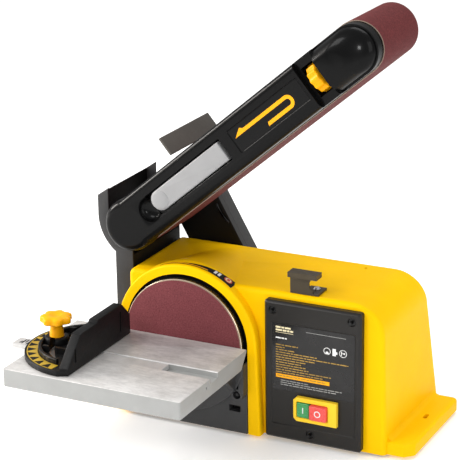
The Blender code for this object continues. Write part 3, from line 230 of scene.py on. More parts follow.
M = {
    "yellow": moulded("yellow_powder_coat", (0.97, 0.56, 0.0008), 0.48, 1100, 0.00003, 0.05, vary=0.03,
                      gloss=0.05),
    "yellow_plastic": moulded("yellow_plastic", (0.96, 0.42, 0.002), 0.36, 2200, 0.00002, vary=0.04,
                              gloss=0.14),
    "bezel": moulded("bezel_plastic", (0.99, 0.63, 0.03), 0.38, 2200, 0.00002, vary=0.05, gloss=0.2),
    "black": moulded("black_satin_plastic", (0.0024, 0.0024, 0.0025), 0.36, 2400, 0.000006, 0.03, coat=0.15,
                     gloss=0.06),
    "black_matte": moulded("black_matte_plastic", (0.006, 0.006, 0.006), 0.46, 1900, 0.00002, 0.06,
                           gloss=0.14),
    "casting": moulded("textured_black_casting", (0.006, 0.006, 0.0062), 0.42, 950, 0.00004, 0.06,
                       gloss=0.15),
    "guard": moulded("dark_grey_casting", (0.038, 0.038, 0.039), 0.48, 1000, 0.00005, 0.07, gloss=0.35),
    "sheet": moulded("coated_sheet_steel", (0.086, 0.077, 0.066), 0.46, 1500, 0.00003, 0.06, 0.2,
                     gloss=0.35),
    "hook": moulded("bronze_coated_steel", (0.058, 0.045, 0.027), 0.42, 1500, 0.00003, 0.06, 0.2,
                    gloss=0.3),
    "panel": moulded("panel_plastic", (0.014, 0.0125, 0.011), 0.36, 1500, 0.00002, 0.05, gloss=0.27),
    "label": moulded("label_film", (0.01, 0.0095, 0.0095), 0.18, 600, 0.00001, 0.06, blotch=40, vary=0.4,
                     gloss=0.36),
    "arm_label": moulded("arm_label_film", (0.0035, 0.0035, 0.0036), 0.2, 600, 0.000005, 0.04, blotch=40,
                         gloss=0.14),
    "grey": moulded("grey_plastic", (0.315, 0.315, 0.318), 0.42, 1500, 0.00002, 0.05, blotch=40, vary=0.05),
    "rubber": moulded("rubber", (0.012, 0.012, 0.012), 0.8, 1200, 0.00006),
    "motor": moulded("motor_paint", (0.05, 0.05, 0.052), 0.5, 1400, 0.00004),
    "cloth": moulded("tan_cloth_edge", (0.36, 0.27, 0.21), 0.85, 2600, 0.00004, 0.05, gloss=0.2),
    "backing": moulded("belt_backing", (0.26, 0.1, 0.065), 0.85, 1700, 0.00008, 0.05, gloss=0.2),
    "art_yellow": printed("yellow", (0.97, 0.41, 0.002)),
    "art_cream": printed("cream", (0.8, 0.7, 0.45)),
    "art_white": printed("white", (0.8, 0.8, 0.79)),
    "art_dull": printed("dull_yellow", (0.36, 0.22, 0.05), 0.2),
    "art_grey": printed("grey", (0.3, 0.3, 0.29), 0.2),
    "art_red": printed("red", (0.62, 0.09, 0.05), 0.05),
    "scale": moulded("scale_plate", (0.58, 0.38, 0.03), 0.34, 900, 0.00002, 0.06, 0.3, vary=0.12,
                     gloss=0.3),
    "green": moulded("green_button_plastic", (0.035, 0.3, 0.085), 0.3, 1800, 0.00001, coat=0.2, vary=0.06),
    "red": moulded("red_button_plastic", (0.82, 0.075, 0.065), 0.3, 1800, 0.00001, coat=0.2, vary=0.05),
    "screw": moulded("black_screw", (0.02, 0.02, 0.02), 0.32, 1500, 0.00002, 0.08, 0.7),
    "abrasive": make_abrasive("maroon_abrasive", (0.172, 0.04, 0.046), (0.34, 0.12, 0.13),
                              (0.086, 0.019, 0.024), True),
    "belt": make_abrasive("belt_abrasive", (0.13, 0.026, 0.027), (0.23, 0.07, 0.07), (0.064, 0.013, 0.014)),
    "table": make_table_metal(),
    "aluminium": make_brushed("milled_aluminium", (0.62, 0.61, 0.6), 0.44, (0.2, 1, 1), 0.25),
    "drum": make_brushed("turned_aluminium", (0.66, 0.66, 0.66), 0.3, (1, 0.05, 1)),
    "steel": make_brushed("zinc_steel", (0.5, 0.5, 0.51), 0.3, (1, 1, 1)),
    # The warm gold tint of the faced aluminium is a painted reflection of the yellow casing.
    "disc_metal": make_turned_metal("faced_aluminium_painted_reflection", (0.82, 0.72, 0.56), 0.3),
}


# ---- shape helpers -------------------------------------------------------------------------------
def arc(cx, cy, radius, start, end, steps):
    angles = [math.radians(start + (end - start) * i / steps) for i in range(steps + 1)]
    return [(cx + radius * math.cos(a), cy + radius * math.sin(a)) for a in angles]


def band(cx, cy, outer, inner, start, end, steps):
    """A part of a ring between two angles."""
    return arc(cx, cy, outer, start, end, steps) + arc(cx, cy, inner, end, start, steps)


def stadium(x0, z0, x1, z1, radius, steps=24):
    lean = math.degrees(math.atan2(z1 - z0, x1 - x0))
    first = arc(x0, z0, radius, lean + 90, lean + 270, steps)
    return first + arc(x1, z1, radius, lean - 90, lean + 90, steps)


def arm_stadium(radius, start=0.0, end=SPACING, steps=32):
    return stadium(start, 0, end, 0, radius, steps)


def show(item, mat=None, shift=STAY):
    """Link an object at its place; one without a material is a cutter or a form for later."""
    item.matrix_world = shift
    bpy.context.scene.collection.objects.link(item)
    if mat is not None:
        item.data.materials.clear()
        item.data.materials.append(M[mat])
    return item


def from_bmesh(name, bm, mat=None, shift=STAY):
    mesh = bpy.data.meshes.new(name)
    bmesh.ops.recalc_face_normals(bm, faces=bm.faces)
    bm.to_mesh(mesh)
    bm.free()
    return show(bpy.data.objects.new(name, mesh), mat, shift)


def bridge(bm, a, b):
    """Four-sided faces between two closed rows of vertices."""
    for i in range(len(a)):
        j = (i + 1) % len(a)
        bm.faces.new((a[i], a[j], b[j], b[i]))


def box(low, high, name="form", mat=None, shift=STAY):
    bm = bmesh.new()
    bmesh.ops.create_cube(bm, size=1.0)
    size = [b - a for a, b in zip(low, high)]
    middle = [(a + b) / 2 for a, b in zip(low, high)]
    bmesh.ops.scale(bm, vec=size, verts=bm.verts)
    bmesh.ops.translate(bm, vec=middle, verts=bm.verts)
    return from_bmesh(name, bm, mat, shift)


def loft(rings, name="form", mat=None, shift=STAY):
    """A capped skin over rings of points with the same count."""
    bm = bmesh.new()
    rows = [[bm.verts.new(p) for p in ring] for ring in rings]
    for a, b in zip(rows, rows[1:]):
        bridge(bm, a, b)
    bm.faces.new(rows[0])
    bm.faces.new(rows[-1])
    return from_bmesh(name, bm, mat, shift)


AXES = {"X": lambda u, v, w: (w, u, v), "Y": lambda u, v, w: (u, w, v), "Z": lambda u, v, w: (u, v, w)}


def plate(outline, levels, name="form", mat=None, shift=STAY, axis="Y"):
    """A flat outline made thick along an axis; levels are heights or (height, inset) pairs."""
    pairs = [level if isinstance(level, tuple) else (level, 0.0) for level in levels]
    turn = AXES[axis]
    return loft([[turn(u, v, w) for u, v in inset(outline, by)] for w, by in pairs], name, mat, shift)


def inset(outline, by):
    """Move a closed outline inward by a distance, along each point's bisector."""
    if not by:
        return outline
    area = sum(a[0] * b[1] - b[0] * a[1] for a, b in zip(outline, outline[1:] + outline[:1]))
    side = 1 if area > 0 else -1
    found = []
    count = len(outline)
    for i, (x, y) in enumerate(outline):
        ax, ay = outline[i - 1]
        bx, by_ = outline[(i + 1) % count]
        first, second = Vector((x - ax, y - ay)), Vector((bx - x, by_ - y))
        if first.length < 1e-9 or second.length < 1e-9:
            first = second = Vector((bx - ax, by_ - ay))
        first.normalize()
        second.normalize()
        n1 = Vector((-first.y, first.x)) * side
        n2 = Vector((-second.y, second.x)) * side
        mid = n1 + n2
        mid /= max(0.35, mid.length_squared / 2)
        found.append((x + mid.x * by, y + mid.y * by))
    return found


def rounded(start, end, radius, steps=5, far=False):
    """Levels for plate that round the rim at the start, and at the far end too."""
    levels = []
    for i in range(steps + 1):
        a = math.radians(90 * i / steps)
        levels.append((start + radius * (1 - math.sin(a)), radius * (1 - math.cos(a))))
    levels = levels[::-1]
    if far:
        return levels + [(end + start - w, by) for w, by in levels[::-1]]
    return levels + [(end, 0.0)]


def turned(profile, center, name="form", mat=None, shift=STAY, axis="Y", steps=72):
    """Turn (radius, height) points about an axis through a centre; heights run along the axis."""
    bm = bmesh.new()
    turn = AXES[axis]
    rows = []
    for radius, height in profile:
        ring = []
        for i in range(steps if radius > 1e-7 else 1):
            a = 2 * math.pi * i / steps
            spot = turn(radius * math.cos(a), radius * math.sin(a), height)
            ring.append(bm.verts.new(Vector(spot) + Vector(center)))
        rows.append(ring)
    for a, b in zip(rows, rows[1:]):
        for i in range(steps):
            j = (i + 1) % steps
            corners = [a[i % len(a)], a[j % len(a)], b[j % len(b)], b[i % len(b)]]
            unique = list(dict.fromkeys(corners))
            if len(unique) > 2:
                bm.faces.new(unique)
    return from_bmesh(name, bm, mat, shift)


def cylinder(start, length, radius, shift=STAY, axis="Y", steps=48):
    profile = [(0, 0), (radius, 0), (radius, length), (0, length)]
    return turned(profile, start, shift=shift, axis=axis, steps=steps)


def apply_all(item):
    bpy.context.view_layer.update()
    graph = bpy.context.evaluated_depsgraph_get()
    mesh = bpy.data.meshes.new_from_object(item.evaluated_get(graph))
    item.modifiers.clear()
    item.data = mesh
    return item


def boolean(item, operation, others):
    for other in others:
        mod = item.modifiers.new("shape", "BOOLEAN")
        mod.operation = operation
        mod.object = other
        mod.solver = "EXACT"
    apply_all(item)
    for other in others:
        bpy.data.objects.remove(other, do_unlink=True)
    return item


def carve(item, *cutters):
    return boolean(item, "DIFFERENCE", cutters)


def fuse(item, *others):
    return boolean(item, "UNION", others)


def soften(item, width=0.0005, segments=2, angle=28):
    """Real edges: a small round on each sharp edge, with flat faces that stay flat."""
    mod = item.modifiers.new("edge", "BEVEL")
    mod.width = width
    mod.segments = segments
    mod.limit_method = "ANGLE"
    mod.angle_limit = math.radians(angle)
    mod.harden_normals = True
    mod.use_clamp_overlap = True
    return shade(item, 60)


def shade(item, angle=35):
    item.data.shade_smooth()
    item.data.set_sharp_from_angle(angle=math.radians(angle))
    return item


def fit(item, body, slot, *nodes):
    """Hang a finished piece on its CAD body, in place of CAD nodes."""
    item.data.transform(item.matrix_world)
    item.matrix_world = STAY
    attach(item, body)
    if nodes:
        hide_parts(*nodes)
    return item


def paint_faces(item, mats, rule):
    """Give each face one of several materials by a rule on its centre and normal."""
    item.data.materials.clear()
    for mat in mats:
        item.data.materials.append(M[mat])
    for face in item.data.polygons:
        face.material_index = rule(face.center, face.normal)
    return item


def film(bm, lower, upper):
    """A thin film between two outlines with the same count of points."""
    rows = [[bm.verts.new(p) for p in outline] for outline in (lower, upper)]
    faces = [bm.faces.new(row) for row in rows]
    bridge(bm, *rows)
    return faces


def art(name, outlines, level, mat, body, slot, shift=STAY, axis="Y"):
    """Printed shapes: films that lie on the front, or with axis Z on the top, of a flat face."""
    bm = bmesh.new()
    turn = AXES[axis]
    heights = (level - FILM, level) if axis == "Y" else (level, level + FILM)
    for outline in outlines:
        film(bm, *[[turn(u, v, w) for u, v in outline] for w in heights])
    fit(from_bmesh(name, bm, mat, shift), body, slot)


def bar(u0, v0, u1, v1):
    return [(u0, v0), (u1, v0), (u1, v1), (u0, v1)]


def ring_pair(cx, cy, outer, inner, steps=28):
    """A ring as two half outlines."""
    return [band(cx, cy, outer, inner, a, a + 180, steps) for a in (0, 180)]


# ---- finishes of the CAD nodes that are shown as they are ----------------------------------------
FINISHES = {
    "sheet": ("base_plate", "idler_fork"),
    "rubber": ("foot_front_left", "foot_front_right", "foot_rear_left", "foot_rear_right",
               "drive_belt"),
    "motor": ("motor_can",),
    "steel": ("motor_bearing_front", "motor_bearing_rear", "drum_bearing", "rest_hook_screw",
              "table_pivot_bolt_left", "table_pivot_bolt_right", "motor_rotor", "drive_pulley",
              "driven_pulley", "platen", "rest_screw_upper", "rest_screw_lower", "arm_lock_screw",
              "tension_spring", "idler_axle"),
    "black_matte": ("capacitor", "cable_gland", "switch_body", "motor_fan"),
    "drum": ("drive_drum", "idler_drum"),
    "casting": ("arm_frame",),
    "screw": ("tension_lever_pin",),
}


def finish_cad():
    """Every carried-over CAD node gets a worked finish; it applies to replaced ones without harm."""
    finish_of = {name: mat for mat, names in FINISHES.items() for name in names}
    for name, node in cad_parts.items():
        node.data.materials.clear()
        node.data.materials.append(M[finish_of.get(name, "black_matte")])
        shade(node)


# ---- base housing --------------------------------------------------------------------------------
BELOW = -0.02
SLOPE = (HALF_DEPTH - BASE_REAR_TOP) / (BASE_TOP - BASE_BOTTOM)


def rear_of_base(z):
    return BASE_REAR_TOP + (BASE_TOP - z) * SLOPE


def loaf_outline(by):
    left, right, top = BASE_LEFT + by, BASE_RIGHT - by, BASE_TOP - by
    corner = 0.038 - by
    outline = [(left, BELOW), (right + 0.004, BELOW)]
    outline += arc(right - corner, top - corner, corner, 0, 90, 22)
    return outline + arc(left + 0.008, top - 0.008, 0.008, 90, 180, 8)


def loaf(by, front, radius, name="form", mat=None):
    """The casing's body: its front rim is round and its rear wall leans."""
    outline = loaf_outline(by)
    rings = [[(u, w, v) for u, v in inset(outline, more)] for w, more in rounded(front, 1, radius, 7)[:-1]]
    for w, more in rounded(0, 1, radius, 7)[-2::-1]:
        rings.append([(u, rear_of_base(v) - by - w, v) for u, v in inset(outline, more)])
    return loft(rings, name, mat)


def arch_outline(radius, flare, foot, steps=72):
    outline = arc(DISC_X, DISC_Z, radius, 0, 180, steps)
    return outline + [(DISC_X - radius - flare, foot), (DISC_X + radius + flare, foot)]


def pulley_stadium(extra, steps=20):
    length = math.hypot(DRUM_X - DISC_X, DRUM_Z - DISC_Z)
    du, dv = PULLEY_OFFSET * (DRUM_Z - DISC_Z) / length, -PULLEY_OFFSET * (DRUM_X - DISC_X) / length
    return stadium(DISC_X + du, DISC_Z + dv, DRUM_X + du, DRUM_Z + dv, PULLEY_RADIUS + extra, steps)


def saddle():
    """The top sinks from the round shroud to the flat rear of the casing."""
    top = (BASE_TOP - DISC_Z - 0.001) / SHROUD_OUTER
    rings = []
    for step in range(13):
        share = step / 12
        size = 1 - share * (1 - top)
        rings.append([(DISC_X + (u - DISC_X) * size, 0.011 + 0.118 * share, DISC_Z + (v - DISC_Z) * size)
                      for u, v in arch_outline(SHROUD_OUTER, 0, BELOW)])
    form = loft(rings)
    room = box((BASE_LEFT + 0.003, 0, 0.15), (0.1, 0.2, 0.3))
    return boolean(form, "INTERSECT", [room])


def flange(x0, x1):
    outer, inner = (x0, x1) if x0 < 0 else (x1, x0)
    step = 0.01 if x0 < 0 else -0.01
    outline = [(inner, 0.0125), (outer + step, 0.0125)]
    outline += [(outer + step * 0.15, 0.021), (outer, 0.024)]
    outline += arc(outer + (0.006 if x0 < 0 else -0.006), 0.16, 0.006, 180 if x0 < 0 else 0, 90, 6)
    outline += [(inner, 0.166)]
    rim = rounded(BELOW, 1, 0.004, 6)[-2::-1]
    levels = [(BELOW, 0.0)] + [(FLANGE_TOP + BELOW - w, by) for w, by in rim]
    return plate(outline, levels, axis="Z")


def flange_fillet(x, side):
    """The casting's round where a flange meets the side wall."""
    radius = 0.006
    corner = arc(x + side * radius, FLANGE_TOP + radius, radius, 270, 180 if side > 0 else 360, 6)
    outline = corner + [(x - side * 0.002, FLANGE_TOP + radius), (x - side * 0.002, FLANGE_TOP - 0.001),
                        (x + side * radius, FLANGE_TOP - 0.001)]
    return plate(outline, (0.017, 0.164))


def make_housing():
    body = loaf(0, BASE_FRONT, 0.006, "casing", "yellow")
    shroud = plate(arch_outline(SHROUD_OUTER, 0.005, BELOW), rounded(SHROUD_FRONT, 0.0145, 0.0026, 6))
    fuse(body, shroud, saddle(), flange(-HALF_WIDTH + 0.06, BASE_LEFT + 0.004),
         flange(BASE_RIGHT - 0.004, HALF_WIDTH), flange_fillet(BASE_RIGHT + 0.0032, 1),
         flange_fillet(BASE_LEFT, -1))
    cavity = loaf(WALL, BASE_FRONT + WALL, 0.004)
    carve(cavity, plate(pulley_stadium(0.0055), (0.137, 0.237)))
    floor = box((-0.3, -0.1, -0.05), (0.3, 0.3, BASE_BOTTOM))
    pocket = plate(arch_outline(SHROUD_INNER, 0, BELOW), (-0.03, 0.0035))
    window = box((0.062, 0, 0.022), (0.157, 0.03, 0.16))
    shaft_hole = cylinder((DISC_X, -0.02, DISC_Z), 0.05, 0.018)
    rear = plate(pulley_stadium(0.002), (0.1405, 0.2405))
    rear_shaft = cylinder((DISC_X, 0.1, DISC_Z), 0.06, 0.012)
    top_hole = cylinder((0.1225, 0.1215, 0.15), 0.05, 0.002, axis="Z", steps=24)
    slots = [plate(stadium(x, 0.094, x, 0.102, 0.0025, 10), (-0.01, 0.03), axis="Z") for x in (-0.15, 0.21)]
    gland = box((0.1415, 0.15, 0.0715), (0.1585, 0.185, 0.0885))
    carve(body, cavity, floor, pocket, window, shaft_hole, rear, rear_shaft, top_hole, *slots, gland)
    soften(body, 0.0007, 3, 24)
    apply_all(body)

    # Faces inside the shroud's pocket, behind the rim, are painted black: painted shade between the rim and
    # the disc.
    def rule(center, normal):
        inside = math.hypot(center.x - DISC_X, max(0, center.z - DISC_Z)) < SHROUD_INNER + 0.0004
        return 1 if inside and -0.0042 < center.y < 0.0055 else 0
    fit(paint_faces(body, ("yellow", "black_matte"), rule), "base", "yellow_paint", "base_housing")
    make_shroud_label()


def make_shroud_label():
    """The strip on the round of the shroud: a black field, a yellow line and a warning sign."""
    def edge(a, back):
        left = max(0.0, (a - 90) / 24)
        right = min(1.0, max(0.0, (90 - a) / 38))
        return 0.005 + 0.009 * right - 0.0042 * left if back else -0.0006 + 0.003 * left - 0.0004 * right
    angles = [113 - 62 * i / 60 for i in range(61)]
    strip = [(a, edge(a, True)) for a in angles] + [(a, edge(a, False)) for a in angles[::-1]]
    lift = SHROUD_OUTER + 0.00004
    wrapped("shroud_strip", [strip], "black_matte", lift)
    line = [(a, edge(a, False) + 0.003) for a in angles[2:40]]
    wrapped("shroud_line", [line + [(a, y - 0.0015) for a, y in line[::-1]]], "art_yellow", lift + 0.0002)
    round_sign = [(SIGN_ANGLE + 3.3 * math.cos(t), SIGN_DEPTH + 0.0047 * math.sin(t))
                  for t in (2 * math.pi * i / 40 for i in range(40))]
    wrapped("shroud_sign", [round_sign], "art_red", lift + 0.0002)
    inner = [(SIGN_ANGLE + (a - SIGN_ANGLE) * 0.72, SIGN_DEPTH + (y - SIGN_DEPTH) * 0.72)
             for a, y in round_sign]
    wrapped("shroud_sign_field", [inner], "art_cream", lift + 0.0004)
    hand = [(57.4, 0.005), (57.8, 0.0086), (56.8, 0.0098), (55.4, 0.0092), (55.2, 0.0062), (56.2, 0.005)]
    wrapped("shroud_sign_hand", [hand], "art_red", lift + 0.0006)
    dashes = [[(a, 0.0028), (a - 2.1, 0.0024), (a - 2.1, 0.009), (a, 0.0094)] for a in (68.5, 65.2)]
    wrapped("shroud_dashes", dashes, "art_white", lift + 0.0002)


def wrapped(name, outlines, mat, radius):
    """Flat shapes given as (angle, depth) points, laid on the round of the shroud as thin films."""
    bm = bmesh.new()
    for outline in outlines:
        layers = [[(DISC_X + r * math.cos(math.radians(a)), y, DISC_Z + r * math.sin(math.radians(a)))
                   for a, y in outline] for r in (radius, radius + 0.00014)]
        bmesh.ops.triangulate(bm, faces=film(bm, *layers))
    fit(from_bmesh(name, bm, mat), "base", "yellow_paint")


# ---- disc, its guard and the drive ---------------------------------------------------------------
def make_disc():
    rim = [(0, 0.0088), (0.0063, 0.0088), (0.0063, 0.0175), (0.014, 0.0175), (0.014, 0.0095),
           (DISC_RADIUS + 0.0004, 0.0095), (DISC_RADIUS + 0.0009, 0.009), (DISC_RADIUS + 0.0009, 0.0018),
           (DISC_RADIUS + 0.0004, 0.0012), (0, 0.0012)]
    plate_piece = turned(rim, (DISC_X, DISC_FACE, DISC_Z), "disc_backing", "disc_metal", steps=144)
    fit(shade(plate_piece), "rotor", "aluminium", "disc_plate")
    paper = turned([(0, 0), (DISC_RADIUS - 0.0003, 0), (DISC_RADIUS, 0.0002), (DISC_RADIUS, 0.0009),
                    (0, 0.0009)], (DISC_X, DISC_FACE, DISC_Z), "disc_paper", "abrasive", steps=144)
    shade(paper)
    paint_faces(paper, ("abrasive", "cloth"), lambda c, n: 1 if abs(n.y) < 0.9 else 0)
    fit(paper, "rotor", "abrasive", "abrasive_disc")


def make_guard():
    left, right = DISC_X - SHROUD_INNER + 0.0006, DISC_X + SHROUD_INNER - 0.0006
    top = 0.095
    guard = box((left, -0.007, BASE_BOTTOM + 0.001), (right, 0.003, top), "guard", "guard")
    lean = math.degrees(math.acos((right - DISC_X) / DISH_RADIUS))
    half = [(left, top)] + arc(DISC_X, DISC_Z, DISH_RADIUS, 180 + lean, 360 - lean, 60) + [(right, top)]
    dish = plate(half, rounded(-0.0175, -0.0058, 0.0016, 4))
    boss_x, boss_z = GUARD_SCREWS["right"]
    boss = cylinder((boss_x, -0.015, boss_z), 0.01, 0.0075)
    post = box((right - 0.0065, -0.016, boss_z), (right, -0.006, top))
    pivot_round = arc(PIVOT_Y, PIVOT_Z, 0.0065, 0, 180, 18)
    lug_outline = [(-0.016, 0.06), (-0.016, 0.088), (-0.033, 0.0935)] + pivot_round
    lug = plate(lug_outline + [(PIVOT_Y - 0.0065, 0.09)], (0.012, 0.018), axis="X")
    arm_outline = [(-0.0062, 0.058), (-0.0062, 0.082), (-0.033, 0.0935)] + pivot_round
    arm_outline += arc(LOCK_Y, LOCK_Z, 0.008, 170, 270, 10)
    arm = plate(arm_outline, (-0.146, -0.14), axis="X")
    web = box((-0.146, -0.0165, 0.058), (-0.118, -0.0062, 0.082))
    fuse(guard, dish, boss, post, lug, arm, web)
    sink = cylinder((boss_x, -0.02, boss_z), 0.013, 0.005)
    hollow = cylinder((DISC_X, -0.015, DISC_Z), 0.03, 0.0795, steps=144)
    slot = box((0.0045, -0.02, 0.031), (0.0195, 0.01, 0.039))
    holes = [cylinder((x, PIVOT_Y, PIVOT_Z), 0.02, 0.0033, axis="X", steps=32) for x in (-0.153, 0.005)]
    lock = cylinder((-0.153, LOCK_Y, LOCK_Z), 0.02, 0.0033, axis="X", steps=32)
    sinks = [cylinder((x, -0.02, z), 0.04, 0.0024, steps=24) for x, z in GUARD_SCREWS.values()]
    carve(guard, sink, hollow, slot, lock, *holes, *sinks)
    fit(soften(guard, 0.0005, 3, 25), "base", "dark_casting", "disc_guard")


def screw_head(name, location, head, body, slot, node):
    """A pan head with a cross recess, and its shank."""
    heights = [(0, 0), (0.002, 0), (0.002, 0.0062), (head, 0.0064), (head, 0.007), (head * 0.88, 0.008),
               (head * 0.6, 0.0087), (0, 0.0089)]
    item = turned([(r, h - 0.0064) for r, h in heights], location, name, "screw", steps=40)
    x, y, z = location
    y += 0.0025
    carve(item, *[box((x - wide, y - 0.0012, z - high), (x + wide, y + 0.0012, z + high))
                  for wide, high in ((0.0028, 0.0004), (0.0004, 0.0028))])
    fit(shade(item, 30), body, slot, node)


# ---- switch panel --------------------------------------------------------------------------------
def round_box(x0, z0, x1, z1, radius, steps=6):
    outline = arc(x1 - radius, z1 - radius, radius, 0, 90, steps)
    outline += arc(x0 + radius, z1 - radius, radius, 90, 180, steps)
    outline += arc(x0 + radius, z0 + radius, radius, 180, 270, steps)
    return outline + arc(x1 - radius, z0 + radius, radius, 270, 360, steps)


def make_panel():
    frame_line = round_box(0.0485, 0.0055, 0.1685, 0.1755, 0.0035)
    levels = [(-0.003, 0.0032), (-0.00275, 0.0026), (-0.0006, 0.0004), (0.0, 0.0), (0.0067, 0.0)]
    panel = plate(frame_line, levels, "panel_frame", "panel")
    field_levels = [(-0.02, -0.0006), (-0.0031, -0.0004), (-0.0024, 0.0004), (-0.002, 0.0008)]
    field = plate(round_box(0.0575, 0.024, 0.162, 0.15, 0.0025), field_levels)
    opening = box((0.09, -0.02, 0.037), (0.138, 0.02, 0.061))
    spots = ((0.0595, 0.1645), (0.157, 0.1645), (0.106, 0.0175))
    holes = [cylinder((x, -0.01, z), 0.03, 0.0024, steps=24) for x, z in spots]
    sinks = [turned([(0, -0.007), (0.0055, -0.007), (0.005, 0.0004), (0.0044, 0.0018), (0.0044, 0.002),
                     (0, 0.002)], (x, -0.003, z), steps=32) for x, z in spots]
    carve(panel, field, opening, *holes, *sinks)
    fit(soften(panel, 0.0003, 2, 22), "base", "dark_panel", "switch_panel")
    for name, (x, z) in zip(("left", "right", "bottom"), spots):
        screw_head(f"panel_screw_head_{name}", (x, -0.0013, z), 0.004, "base", "steel",
                   f"panel_screw_{name}")
    label = plate(round_box(0.0588, 0.0675, 0.1607, 0.1487, 0.0018), (-0.00215, -0.0019), "panel_label",
                  "label")
    fit(label, "base", "dark_panel")
    make_panel_art()


def text_rows(left, right, top, pitch, high, widths):
    """Rows of short dashes that stand for fine print."""
    found = []
    for row, share in enumerate(widths):
        z = top - row * pitch
        start = left
        word = 0
        while start < left + (right - left) * share - 0.001:
            length = (0.0062, 0.0035, 0.0079, 0.0047, 0.0028)[(word + row * 2) % 5]
            end = min(start + length, left + (right - left) * share)
            found.append(bar(start, z - high, end, z))
            start = end + 0.0009
            word += 1
    return found


def make_panel_art():
    def ink(name, shapes, mat, lift=0.0):
        art("panel_" + name, shapes, -0.00225 - lift, mat, "base", "dark_panel")

    lines = text_rows(0.0632, 0.085, 0.1455, 0.0034, 0.0021, (0.86, 1.0))
    lines.append(bar(0.0632, 0.1379, 0.085, 0.1384))
    ink("heading", lines, "art_cream")
    ink("model_dash", text_rows(0.0632, 0.077, 0.1322, 0.003, 0.0016, (1.0,)), "art_white")
    widths = (0.3, 0.12, 0.25, 0.56, 0.97, 0.52, 0.4, 0.34, 0.4, 0.44, 0.74, 0.64)
    ink("small_print", text_rows(0.0632, 0.156, 0.1236, 0.00305, 0.0012, widths), "art_dull")
    ink("bar", [bar(0.0632, 0.0826, 0.13, 0.0872)], "art_yellow")
    ink("bar_print", text_rows(0.0648, 0.127, 0.0856, 0.003, 0.0012, (0.97,)), "art_dull", 0.0001)
    ink("notes", text_rows(0.069, 0.146, 0.08, 0.0026, 0.001, (0.45, 1.0, 0.92)), "art_grey")
    shapes = ring_pair(0.127, 0.1248, 0.0043, 0.0036) + [arc(0.127, 0.1225, 0.002, 0, 350, 20)]
    shapes += [bar(0.1337, 0.1204, 0.1378, 0.129), bar(0.1378, 0.1225, 0.1396, 0.1255)]
    shapes += ring_pair(0.1466, 0.1248, 0.0046, 0.004)
    shapes += [[(0.1442, 0.1222), (0.1442, 0.1274), (0.1452, 0.1274), (0.1452, 0.1222)],
               [(0.1452, 0.1252), (0.149, 0.1262), (0.149, 0.1238)]]
    ink("pictograms", shapes, "art_white")
    ink("emblem", [bar(0.101, 0.143, 0.15, 0.1436)], "art_grey")


def make_switch():
    x0, x1, z0, z1 = 0.087, 0.141, 0.034, 0.064
    y = -0.0023
    outline = [(x0 + 0.004, z0), (x1, z0), (x1, z1), (x0 + 0.004, z1), (x0, z1 - 0.004), (x0, z0 + 0.004)]
    bezel = plate(outline, [(y - 0.006, 0.0012), (y - 0.0056, 0.0005), (y - 0.0048, 0.0), (y, 0.0)],
                  "bezel", "bezel")
    window = plate(round_box(x0 + 0.0045, z0 + 0.0055, x1 - 0.011, z1 - 0.0055, 0.001),
                   [(-0.03, -0.002), (y - 0.0061, -0.0006), (y - 0.005, 0.0), (0.01, 0.0)])
    carve(bezel, window)
    fit(soften(bezel, 0.0003, 2, 25), "base", "yellow_plastic", "switch_bezel")
    split = x0 + 0.021
    low, high = z0 + 0.0061, z1 - 0.0061
    for side, left, right, front, body, node in (
            ("green", x0 + 0.0051, split - 0.0006, y - 0.007, "start_button", "green_button"),
            ("red", split + 0.0006, x1 - 0.0116, y - 0.01, "stop_button", "red_button")):
        levels = [(front + 0.0004, 0.003), (front, 0.0014), (front + 0.0003, 0.0005), (front + 0.0011, 0.0),
                  (0.003, 0.0)]
        rings = [[(u, w, v) for u, v in round_box(left + by, low + by, right - by, high - by, 0.0012)]
                 for w, by in levels]
        button = loft(rings, f"{side}_cap", side)
        fit(shade(button, 50), body, node, node)
        middle = ((left + right) / 2, (low + high) / 2)
        if side == "green":
            mark = [bar(middle[0] - 0.0006, middle[1] - 0.0036, middle[0] + 0.0006, middle[1] + 0.0036)]
        else:
            mark = ring_pair(middle[0], middle[1], 0.004, 0.0028)
        art(f"{side}_mark", mark, front + 0.00038, "art_white", body, node)


